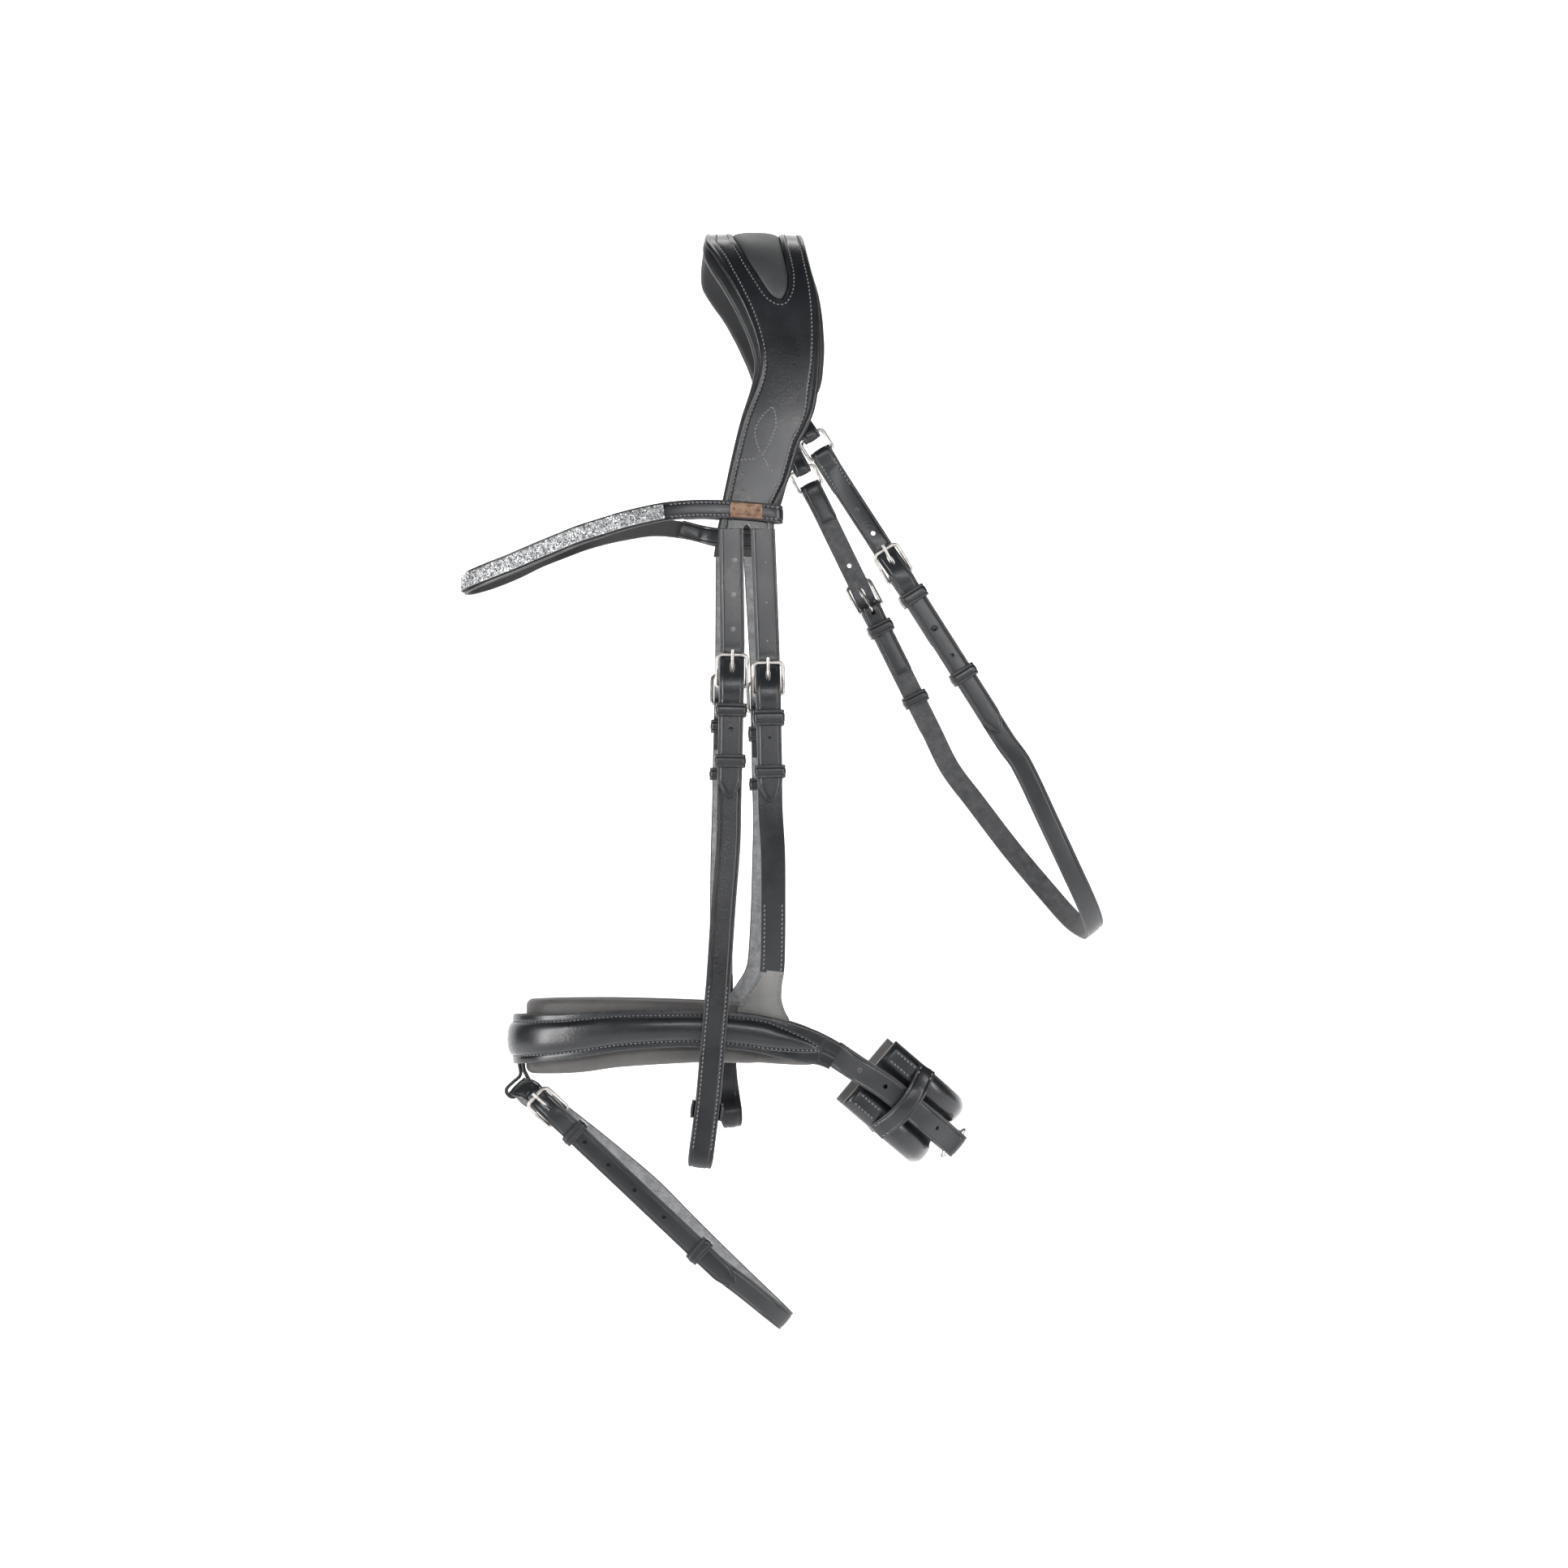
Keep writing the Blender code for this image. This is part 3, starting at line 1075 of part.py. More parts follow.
def make_flash_loop():
    """A leather loop round the flash, its two tails sewn between the noseband and its padding."""
    pivot = vec(FLASH_PIVOT[0], 0.0, FLASH_PIVOT[1])
    ring = Place(pivot, (0.7071, 0.0, -0.7071), (0.7071, 0.0, 0.7071))
    long_half = SMALL_W / 2 + 0.5 + FLASH_LOOP_THICK / 2
    short_half = LEATHER / 2 + 1.3 + FLASH_LOOP_THICK / 2
    outer = -131.6
    inner = -129.5
    path = [vec(outer, 0, -442.0), vec(outer, 0, -450.0), vec(outer - 0.3, 0, -456.0),
            ring.at(-short_half, long_half - 1.8), ring.at(-short_half, 0.0),
            ring.at(-short_half, -long_half + 2.0), ring.at(-short_half * 0.6, -long_half + 0.4),
            ring.at(0.0, -long_half), ring.at(short_half * 0.6, -long_half + 0.4),
            ring.at(short_half, -long_half + 2.0), ring.at(short_half, 0.0),
            ring.at(short_half, long_half - 1.0), vec(-127.5, 0, -462.8), vec(inner, 0, -458.6),
            vec(inner, 0, -450.6), vec(inner, 0, -442.0)]
    facing = []
    for i in range(len(path)):
        along = path[min(i + 1, len(path) - 1)] - path[max(i - 1, 0)]
        facing.append(vec(along.z, 0, -along.x).normalized())
    points, directions = sweep(path, facing)
    band("flash_loop", leather(), points, directions, FLASH_LOOP_W, FLASH_LOOP_THICK)


def build():
    global PARTS, CUTTERS
    clear_scene()
    PARTS = new_collection("snaffle_bridle")
    CUTTERS = new_collection("cutters")
    make_headpiece()
    for side in (-1, 1):
        make_cheek(side)
        make_rear(side)
        make_throat_side(side)
        make_throat_tab(side)
    make_browband()
    make_noseband()
    make_jaw_pad()
    make_crank_strap()
    make_crank_buckle()
    make_crank_chape()
    make_throat_strap()
    make_flash()
    make_flash_loop()


build()
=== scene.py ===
"""Looks for the snaffle bridle. Lengths in here are millimetres until MM turns them into metres.

Straps, pads, wires and stitches are rebuilt finely along the same routes as the CAD frame, and ride on it.
"""
import bisect
import json
import math
import random

import bmesh
import bpy
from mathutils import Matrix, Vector

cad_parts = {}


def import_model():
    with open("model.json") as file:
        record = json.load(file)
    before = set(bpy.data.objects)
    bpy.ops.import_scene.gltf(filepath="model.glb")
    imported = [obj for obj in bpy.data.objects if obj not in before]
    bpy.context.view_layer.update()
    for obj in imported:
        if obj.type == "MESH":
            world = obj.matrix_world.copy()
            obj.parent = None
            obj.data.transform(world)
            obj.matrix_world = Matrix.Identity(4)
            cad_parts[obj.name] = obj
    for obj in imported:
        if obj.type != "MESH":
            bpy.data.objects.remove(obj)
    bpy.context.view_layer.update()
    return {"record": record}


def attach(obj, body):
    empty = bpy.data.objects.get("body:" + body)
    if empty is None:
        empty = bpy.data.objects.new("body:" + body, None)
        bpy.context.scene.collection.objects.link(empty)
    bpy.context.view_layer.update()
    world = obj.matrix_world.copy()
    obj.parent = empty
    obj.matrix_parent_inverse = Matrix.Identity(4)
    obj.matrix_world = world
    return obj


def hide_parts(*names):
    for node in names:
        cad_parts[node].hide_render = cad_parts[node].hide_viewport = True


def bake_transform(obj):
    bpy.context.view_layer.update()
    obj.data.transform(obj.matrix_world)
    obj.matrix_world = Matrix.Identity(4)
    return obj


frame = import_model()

MM = 0.001
CRYSTAL_SEED = 11
CRYSTAL_ROWS = 8
DATUM = Vector((0.0, 0.0, 3.9))
BODY_OF = {node: body for body, nodes in frame["record"]["behaviour"]["bodies"].items() for node in nodes}

# ---- the frame's own dimensions ------------------------------------------------------
LEATHER = 2.4
THIN = 1.6
GAP = 0.3
WIRE = 1.1
TONGUE = 0.95
CHEEK_W = 13.4
SMALL_W = 11.8
CRANK_W = 14.0
BUCKLE_RISE = 17.0
BAR_CORNER = 1.2
BUCKLE_LIFT = 4.1
FOLD_R = WIRE + GAP + LEATHER / 2
LAYER = LEATHER / 2 + GAP / 2
BILLET_N = 3 * LEATHER / 2 + GAP + GAP / 2 + 0.05
BILLET_TOP_N = 0.9
SIDE_Y = 54.1
RUNNER_CLEAR = 0.35
HOLE_R = 1.3
SHUT_HOLE_R = 0.45       # a spare hole that has closed up with age
STEP = 1.6               # length of one face along a strap


# ---- materials -----------------------------------------------------------------------
def nodes_of(name):
    mat = bpy.data.materials.new(name)
    mat.use_nodes = True
    tree = mat.node_tree
    return mat, tree, tree.nodes["Principled BSDF"]


def add(tree, kind, **values):
    node = tree.nodes.new(kind)
    for key, value in values.items():
        if key in node.inputs:
            node.inputs[key].default_value = value
        else:
            setattr(node, key, value)
    return node


def ramp(tree, source, low, high, dark, light):
    """Turn a value into a colour or a grey between two stops."""
    node = tree.nodes.new("ShaderNodeValToRGB")
    node.color_ramp.elements[0].position = low
    node.color_ramp.elements[1].position = high
    node.color_ramp.elements[0].color = (*dark, 1.0)
    node.color_ramp.elements[1].color = (*light, 1.0)
    tree.links.new(source, node.inputs["Fac"])
    return node.outputs["Color"]


def span(tree, source, to_min, to_max, from_min=0.0, from_max=1.0):
    node = tree.nodes.new("ShaderNodeMapRange")
    node.inputs["From Min"].default_value = from_min
    node.inputs["From Max"].default_value = from_max
    node.inputs["To Min"].default_value = to_min
    node.inputs["To Max"].default_value = to_max
    tree.links.new(source, node.inputs["Value"])
    return node.outputs["Result"]


def leather_material(name, colour, wear_and_highlight, rough, grain=900.0, relief=0.00012, coat=0.0, sheen=0.0):
    """Leather: pebbled grain, fine pores, slow changes of tone and polish, and paler rims that are partly
    wear and partly a painted highlight.
    """
    mat, tree, shader = nodes_of(name)
    place = tree.nodes.new("ShaderNodeTexCoord")
    slow = add(tree, "ShaderNodeTexNoise", Scale=38.0, Detail=4.0, Roughness=0.6)
    pebble = add(tree, "ShaderNodeTexVoronoi", Scale=grain, feature="SMOOTH_F1")
    pores = add(tree, "ShaderNodeTexNoise", Scale=grain * 3.1, Detail=3.0)
    creases = add(tree, "ShaderNodeTexNoise", Scale=grain * 0.22, Detail=6.0, Roughness=0.7, Distortion=1.4)
    for node in (slow, pebble, pores, creases):
        tree.links.new(place.outputs["Object"], node.inputs["Vector"])
    tone = ramp(tree, slow.outputs["Fac"], 0.35, 0.7, colour, tuple(c * 1.5 for c in colour))
    # Paler colour in patches towards each rim: partly wear from handling, partly a painted highlight for the
    # light caught by the raised edges.
    rim = add(tree, "ShaderNodeAttribute", attribute_name="rim")
    near_rim = span(tree, rim.outputs["Fac"], 1.0, 0.0, 0.1, 1.1)
    wear_and_highlight_mask = add(tree, "ShaderNodeMath", operation="MULTIPLY")
    tree.links.new(near_rim, wear_and_highlight_mask.inputs[0])
    tree.links.new(span(tree, creases.outputs["Fac"], 0.0, 1.0, 0.4, 0.65), wear_and_highlight_mask.inputs[1])
    mix = add(tree, "ShaderNodeMix", data_type="RGBA")
    tree.links.new(wear_and_highlight_mask.outputs[0], mix.inputs["Factor"])
    tree.links.new(tone, mix.inputs[6])
    mix.inputs[7].default_value = (*wear_and_highlight, 1.0)
    tree.links.new(mix.outputs[2], shader.inputs["Base Color"])
    uneven = span(tree, slow.outputs["Fac"], rough - 0.07, rough + 0.1, 0.3, 0.7)
    tree.links.new(uneven, shader.inputs["Roughness"])
    first = add(tree, "ShaderNodeBump", Strength=0.5, Distance=relief)
    tree.links.new(pebble.outputs["Distance"], first.inputs["Height"])
    second = add(tree, "ShaderNodeBump", Strength=0.35, Distance=relief * 0.6)
    tree.links.new(pores.outputs["Fac"], second.inputs["Height"])
    tree.links.new(first.outputs["Normal"], second.inputs["Normal"])
    third = add(tree, "ShaderNodeBump", Strength=0.3, Distance=relief * 1.4)
    tree.links.new(creases.outputs["Fac"], third.inputs["Height"])
    tree.links.new(second.outputs["Normal"], third.inputs["Normal"])
    tree.links.new(third.outputs["Normal"], shader.inputs["Normal"])
    shader.inputs["Coat Weight"].default_value = coat
    shader.inputs["Coat Roughness"].default_value = 0.22
    shader.inputs["Sheen Weight"].default_value = sheen
    shader.inputs["Sheen Roughness"].default_value = 0.5
    return mat


def suede_material(name, dark, light):
    """The flesh side of a strap: short matted fibres, mottled grey."""
    mat, tree, shader = nodes_of(name)
    place = tree.nodes.new("ShaderNodeTexCoord")
    fibre = add(tree, "ShaderNodeTexNoise", Scale=1500.0, Detail=6.0, Roughness=0.75)
    patch = add(tree, "ShaderNodeTexNoise", Scale=190.0, Detail=5.0, Roughness=0.7)
    for node in (fibre, patch):
        tree.links.new(place.outputs["Object"], node.inputs["Vector"])
    both = add(tree, "ShaderNodeMath", operation="MULTIPLY")
    tree.links.new(fibre.outputs["Fac"], both.inputs[0])
    tree.links.new(patch.outputs["Fac"], both.inputs[1])
    tree.links.new(ramp(tree, both.outputs[0], 0.14, 0.38, dark, light), shader.inputs["Base Color"])
    bump = add(tree, "ShaderNodeBump", Strength=0.7, Distance=0.00025)
    tree.links.new(fibre.outputs["Fac"], bump.inputs["Height"])
    tree.links.new(bump.outputs["Normal"], shader.inputs["Normal"])
    tree.links.new(span(tree, patch.outputs["Fac"], 0.82, 0.98), shader.inputs["Roughness"])
    shader.inputs["Sheen Weight"].default_value = 0.35
    shader.inputs["Sheen Roughness"].default_value = 0.6
    return mat


def metal_material(name, colour, dark, rough, scratch=600.0):
    """Polished metal with fine wire marks, dull spots, and dirt in patches."""
    mat, tree, shader = nodes_of(name)
    place = tree.nodes.new("ShaderNodeTexCoord")
    spots = add(tree, "ShaderNodeTexNoise", Scale=260.0, Detail=5.0, Roughness=0.65)
    marks = add(tree, "ShaderNodeTexNoise", Scale=scratch * 4, Detail=4.0, Distortion=3.0)
    for node in (spots, marks):
        tree.links.new(place.outputs["Object"], node.inputs["Vector"])
    tree.links.new(ramp(tree, spots.outputs["Fac"], 0.32, 0.52, dark, colour), shader.inputs["Base Color"])
    tarnish = span(tree, spots.outputs["Fac"], rough + 0.14, rough, 0.3, 0.6)
    tree.links.new(tarnish, shader.inputs["Roughness"])
    bump = add(tree, "ShaderNodeBump", Strength=0.25, Distance=0.00004)
    tree.links.new(marks.outputs["Fac"], bump.inputs["Height"])
    tree.links.new(bump.outputs["Normal"], shader.inputs["Normal"])
    shader.inputs["Metallic"].default_value = 1.0
    return mat


def thread_material(name, colour):
    """Waxed black thread with twisted strands, its colour lifted well above the leather's as a painted
    highlight on the stitches.
    """
    mat, tree, shader = nodes_of(name)
    place = tree.nodes.new("ShaderNodeTexCoord")
    twist = add(tree, "ShaderNodeTexNoise", Scale=2600.0, Detail=2.0)
    tree.links.new(place.outputs["Object"], twist.inputs["Vector"])
    tree.links.new(ramp(tree, twist.outputs["Fac"], 0.3, 0.7, colour, tuple(c * 2.2 for c in colour)),
                   shader.inputs["Base Color"])
    bump = add(tree, "ShaderNodeBump", Strength=0.5, Distance=0.0001)
    tree.links.new(twist.outputs["Fac"], bump.inputs["Height"])
    tree.links.new(bump.outputs["Normal"], shader.inputs["Normal"])
    shader.inputs["Roughness"].default_value = 0.36
    return mat


def crystal_material():
    """Foil-backed chips: each chip has its own brightness, from the attribute named chip."""
    mat, tree, shader = nodes_of("silver_crystal_chips")
    chip = add(tree, "ShaderNodeAttribute", attribute_name="chip")
    tree.links.new(ramp(tree, chip.outputs["Fac"], 0.0, 0.9, (0.28, 0.282, 0.29), (0.86, 0.87, 0.88)),
                   shader.inputs["Base Color"])
    tree.links.new(span(tree, chip.outputs["Fac"], 0.95, 0.35), shader.inputs["Metallic"])
    tree.links.new(span(tree, chip.outputs["Fac"], 0.05, 0.2), shader.inputs["Roughness"])
    shader.inputs["Coat Weight"].default_value = 1.0
    shader.inputs["Coat Roughness"].default_value = 0.03
    return mat


GRAIN = leather_material("polished_black_leather", (0.0085, 0.0095, 0.012), (0.06, 0.061, 0.065), 0.3,
                         coat=0.45)
# The strap's pale rim colour is set high: partly wear, partly a painted highlight along the strap edges.
STRAP = leather_material("bridle_strap_leather", (0.011, 0.012, 0.0145), (0.12, 0.122, 0.128), 0.33,
                         coat=0.35)
EDGE = leather_material("dyed_strap_edge", (0.012, 0.0125, 0.014), (0.055, 0.052, 0.05), 0.42, grain=1500.0)
SOFT = leather_material("soft_padding_leather", (0.075, 0.072, 0.070), (0.11, 0.106, 0.102), 0.52,
                        grain=1300.0, relief=0.00009, sheen=0.12)
POLL = leather_material("poll_insert_leather", (0.045, 0.048, 0.050), (0.07, 0.07, 0.07), 0.5,
                        grain=1300.0, relief=0.00008, sheen=0.08)
GUSSET = leather_material("worn_gusset_leather", (0.16, 0.158, 0.155), (0.22, 0.215, 0.21), 0.6, grain=1100.0)
FLESH = suede_material("strap_flesh_side", (0.12, 0.122, 0.128), (0.34, 0.345, 0.355))
# A darker copy of the flesh side, used on the throatlash straps.
DARKER_FLESH = suede_material("darker_flesh_side", (0.03, 0.031, 0.034), (0.10, 0.101, 0.106))
ROLL = leather_material("headpiece_roll_leather", (0.020, 0.0205, 0.022), (0.04, 0.04, 0.042), 0.42,
                        grain=1300.0, relief=0.00008)
# The padding's underside inside the headpiece: black lining leather, painted darker than the rolls as shade
# inside the hollow.
LINING_PAINTED_SHADE = leather_material("headpiece_inner_lining_painted_shade", (0.010, 0.0105, 0.012), (0.02, 0.02, 0.022), 0.55,
                          grain=1300.0)
LINING = leather_material("lining_leather", (0.028, 0.028, 0.029), (0.05, 0.05, 0.05), 0.55, grain=1200.0)
NICKEL = metal_material("brushed_nickel", (0.66, 0.635, 0.61), (0.36, 0.335, 0.31), 0.32)
COPPER = metal_material("aged_copper_plate", (0.27, 0.175, 0.125), (0.11, 0.07, 0.05), 0.4)
# Black thread given a mid-grey colour: a painted highlight standing in for the light on the glossy stitches.
THREAD_PAINTED_SHINE = thread_material("black_thread_painted_shine", (0.13, 0.133, 0.14))
CRYSTAL = crystal_material()
FOIL = metal_material("crystal_backing_foil", (0.42, 0.425, 0.43), (0.26, 0.26, 0.27), 0.45)


# ---- paths ---------------------------------------------------------------------------
def knots_of(points):
    out = [0.0]
    for a, b in zip(points, points[1:]):
        out.append(out[-1] + max((b - a).length, 1e-4))
    return out


def smooth(values, knots, counts):
    """A cubic curve through values at their knots, with counts[i] samples in span i."""
    last = len(values) - 1
    slopes = []
    for i in range(last + 1):
        a = max(i - 1, 0)
        b = min(i + 1, last)
        slopes.append((values[b] - values[a]) / (knots[b] - knots[a]))
    out = []
    for i in range(last):
        width = knots[i + 1] - knots[i]
        for k in range(counts[i]):
            t = k / counts[i]
            out.append((1 + 2 * t) * (1 - t) ** 2 * values[i] + t * (1 - t) ** 2 * width * slopes[i]
                       + t * t * (3 - 2 * t) * values[i + 1] + t * t * (t - 1) * width * slopes[i + 1])
    out.append(values[last])
    return out


def dense(points, normals, step=STEP, least=3):
    knots = knots_of(points)
    counts = [max(least, math.ceil((b - a) / step)) for a, b in zip(knots, knots[1:])]
    return smooth(points, knots, counts), smooth(normals, knots, counts)


def read(table, x):
    """A smooth value at x from (x, value) pairs."""
    rows = sorted(table)
    if x <= rows[0][0]:
        return rows[0][1]
    if x >= rows[-1][0]:
        return rows[-1][1]
    i = bisect.bisect_right([r[0] for r in rows], x) - 1
    i = min(i, len(rows) - 2)

    def slope(k):
        a = max(k - 1, 0)
        b = min(k + 1, len(rows) - 1)
        return (rows[b][1] - rows[a][1]) / (rows[b][0] - rows[a][0])

    width = rows[i + 1][0] - rows[i][0]
    t = (x - rows[i][0]) / width
    return ((1 + 2 * t) * (1 - t) ** 2 * rows[i][1] + t * (1 - t) ** 2 * width * slope(i)
            + t * t * (3 - 2 * t) * rows[i + 1][1] + t * t * (t - 1) * width * slope(i + 1))


def frames_along(points, normals, closed=False):
    out = []
    count = len(points)
    for i in range(count):
        if closed:
            ahead = points[(i + 1) % count]
            behind = points[i - 1]
        else:
            ahead = points[min(i + 1, count - 1)]
            behind = points[max(i - 1, 0)]
        tangent = (ahead - behind).normalized()
        normal = normals[i] - tangent * normals[i].dot(tangent)
        normal.normalize()
        out.append((tangent, normal, tangent.cross(normal)))
    return out


def rounded_loop(half_w, half_h, radius, steps=3, low_radius=None):
    out = []
    for sx, sy, start in ((1, 1, 0), (-1, 1, 90), (-1, -1, 180), (1, -1, 270)):
        r = low_radius if low_radius and sy < 0 else radius
        for k in range(steps + 1):
            angle = math.radians(start + 90 * k / steps)
            out.append((sx * (half_w - r) + r * math.cos(angle), sy * (half_h - r) + r * math.sin(angle)))
    return out


class Place:
    """A local frame: s runs along the strap, n points away from the horse, w lies across."""

    def __init__(self, origin, along, outward):
        self.o = Vector(origin)
        self.s = Vector(along).normalized()
        self.n = Vector(outward)
        self.n = (self.n - self.s * self.n.dot(self.s)).normalized()
        self.w = self.s.cross(self.n)

    def at(self, s, n, w=0.0):
        return self.o + self.s * s + self.n * n + self.w * w


class Rail:
    """The finished path of a strap, for laying stitches and trim on it."""

    def __init__(self, points, normals, widths, closed=False):
        self.p = points
        self.f = frames_along(points, normals, closed)
        self.w = widths
        self.run = knots_of(points)
        self.length = self.run[-1]

    def spot(self, s, u, lift):
        """Point, tangent and normal at length s, u across and lift above the middle."""
        i = min(max(bisect.bisect_right(self.run, s) - 1, 0), len(self.p) - 2)
        t = (s - self.run[i]) / (self.run[i + 1] - self.run[i])
        a = self.f[i]
        b = self.f[i + 1]
        tangent = a[0].lerp(b[0], t).normalized()
        normal = a[1].lerp(b[1], t).normalized()
        side = a[2].lerp(b[2], t).normalized()
        width = self.w[i] + (self.w[i + 1] - self.w[i]) * t
        if callable(u):
            u = u(width / 2)
        return self.p[i].lerp(self.p[i + 1], t) + side * u + normal * lift, tangent, normal

    def nearest(self, point):
        best = min(range(len(self.p)), key=lambda i: (self.p[i] - point).length)
        return self.run[best]


# ---- meshes --------------------------------------------------------------------------
def world(point):
    return (point - DATUM) * MM


def finish_piece(name, mesh, mats, body, nodes=(), sharp=48.0):
    if not mesh.materials:
        for mat in mats:
            mesh.materials.append(mat)
    mesh.shade_smooth()
    mesh.set_sharp_from_angle(angle=math.radians(sharp))
    piece = bpy.data.objects.new(name, mesh)
    bpy.context.scene.collection.objects.link(piece)
    if body:
        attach(piece, body)
    if nodes:
        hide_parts(*nodes)
    return piece


def skin(name, rows, slots, rims, closed=False):
    """A closed mesh from rings of points. slots and rims belong to the ring's own points."""
    bm = bmesh.new()
    layer = bm.verts.layers.float.new("rim")
    made = []
    for row in rows:
        ring = []
        for point, rim in zip(row, rims):
            vert = bm.verts.new(world(point))
            vert[layer] = rim
            ring.append(vert)
        made.append(ring)
    count = len(slots)
    total = len(made)
    for i in range(total if closed else total - 1):
        a = made[i]
        b = made[(i + 1) % total]
        for j in range(count):
            face = bm.faces.new((a[j], a[(j + 1) % count], b[(j + 1) % count], b[j]))
            face.material_index = slots[j]
    if not closed:
        for ring in (made[0], made[-1]):
            face = bm.faces.new(ring)
            face.material_index = 2
    bm.normal_update()
    bmesh.ops.recalc_face_normals(bm, faces=bm.faces)
    mesh = bpy.data.meshes.new(name)
    bm.to_mesh(mesh)
    bm.free()
    return mesh


def top_plain(u, h):
    return -0.10 * (u / h) ** 2


def top_creased(u, h):
    """A slightly domed face with a creased line near each edge."""
    d = h - abs(u)
    return -0.42 * (u / h) ** 2 - 0.3 * math.exp(-((d - 1.65) / 0.32) ** 2)


def top_stitched(u, h):
    """A deeper seat for a row of stitches near each edge."""
    d = h - abs(u)
    return -0.3 * (u / h) ** 2 - 0.34 * math.exp(-((d - 1.95) / 0.5) ** 2)


def across_of(h):
    """Positions of the face's lines across a strap of half width h."""
    edge = [d for d in (0.45, 0.8, 1.3, 1.65, 2.0, 2.45, 2.9) if d < h - 0.6]
    inner = [h * 0.42, h * 0.21, 0.0]
    half = [h - d for d in edge] + [x for x in inner if x < h - edge[-1] - 0.3]
    return sorted(set([round(x, 4) for x in half] + [round(-x, 4) for x in half]))


def section(h, t, top, lines):
    """Ring of (u, n) round a strap: its face, one rounded edge, its back, the other edge."""
    half = t / 2
    face = [(u * h, half + top(u * h, h)) for u in lines]
    right = [(h - 0.14, half - 0.42), (h, 0.0), (h - 0.14, -half + 0.42)]
    back = [(h - 0.5, -half), (h * 0.5, -half), (0.0, -half), (-h * 0.5, -half), (-h + 0.5, -half)]
    left = [(-u, n) for u, n in reversed(right)]
    return face + right + back + left


def strap(name, nodes, points, normals, width, thick=LEATHER, top=top_creased, mats=None, tip=0.0,
          closed=False, cuts=(), body=None, step=STEP, ready=False, flush=False):
    """A leather strap along a path, with a rounded section, a creased face and a fibrous back."""
    if ready:
        pts, nrm = points, normals
    else:
        pts, nrm = dense(points, normals, step)
    widths = [width(p) if callable(width) else width for p in pts]
    rail = Rail(pts, nrm, list(widths), closed)
    if tip:
        for i, s in enumerate(rail.run):
            left = rail.length - s
            if left < tip:
                share = 0.14 + 0.86 * (1.0 - (1.0 - left / tip) ** 2) ** 0.8
                widths[i] = widths[i] * share
    full = max(widths)
    lines = [x / (full / 2) for x in across_of(full / 2)]
    slots = [0] * (len(lines) - 1) + [2] * 4 + [1] * 4 + [2] * 4
    rims = [1.0 - abs(u) for u in lines]
    rims = [r * full / 2 for r in rims] + [0.1] * 3 + [0.3, 2.0, 3.0, 2.0, 0.3] + [0.1] * 3
    rows = []
    for i, (point, (_, normal, side)) in enumerate(zip(pts, rail.f)):
        h = widths[i] / 2
        ring = section(h, thick, top, lines)
        if not closed and (i == len(pts) - 1 or (i == 0 and not flush)):
            ring = [(u * (1 - 0.25 / max(h, 0.5)), n * 0.75) for u, n in ring]
        rows.append([point + side * u + normal * n for u, n in ring])
    mesh = skin(name, rows, slots, rims, closed)
    if mats is None:
        mats = [STRAP, FLESH, EDGE]
    if cuts:
        mesh = carve(mesh, cuts, mats)
    body = body or BODY_OF[nodes[0]]
    piece = finish_piece(name, mesh, mats, body, nodes)
    return piece, rail


def carve(mesh, cuts, mats):
    """Cut the given meshes out of a mesh and return what is left, with its materials in place."""
    for mat in mats:
        mesh.materials.append(mat)
    start = bpy.data.objects.new("carved", mesh)
    bpy.context.scene.collection.objects.link(start)
    tools = []
    for tool_mesh in cuts:
        tool = bpy.data.objects.new("tool", tool_mesh)
        bpy.context.scene.collection.objects.link(tool)
        mod = start.modifiers.new("cut", "BOOLEAN")
        mod.operation = "DIFFERENCE"
        mod.solver = "EXACT"
        mod.object = tool
        tools.append(tool)
    bpy.context.view_layer.update()
    made = bpy.data.meshes.new_from_object(start.evaluated_get(bpy.context.evaluated_depsgraph_get()))
    for item in [start] + tools:
        bpy.data.objects.remove(item, do_unlink=True)
    return made


def mesh_from(bm, name):
    bm.normal_update()
    bmesh.ops.recalc_face_normals(bm, faces=bm.faces)
    mesh = bpy.data.meshes.new(name)
    bm.to_mesh(mesh)
    bm.free()
    return mesh


def hole_tool(places):
    """Oval punches: (centre, axis, along, half length, half width, depth)."""
    bm = bmesh.new()
    for centre, axis, along, half_length, half_width, depth in places:
        side = axis.cross(along).normalized()
        made = bmesh.ops.create_cone(bm, cap_ends=True, segments=24, radius1=1.0, radius2=1.0, depth=2.0)
        for vert in made["verts"]:
            x, y, z = vert.co
            vert.co = world(centre + along * (x * half_length) + side * (y * half_width) + axis * (z * depth))
    return mesh_from(bm, "holes")


def slot_tool(place):
    size = TONGUE + GAP + 0.05
    bm = bmesh.new()
    made = bmesh.ops.create_cube(bm, size=2.0)
    for vert in made["verts"]:
        x, y, z = vert.co
        vert.co = world(place.at(-1.4 + x * 5.6, y * 5.5, z * size))
    return mesh_from(bm, "slot")


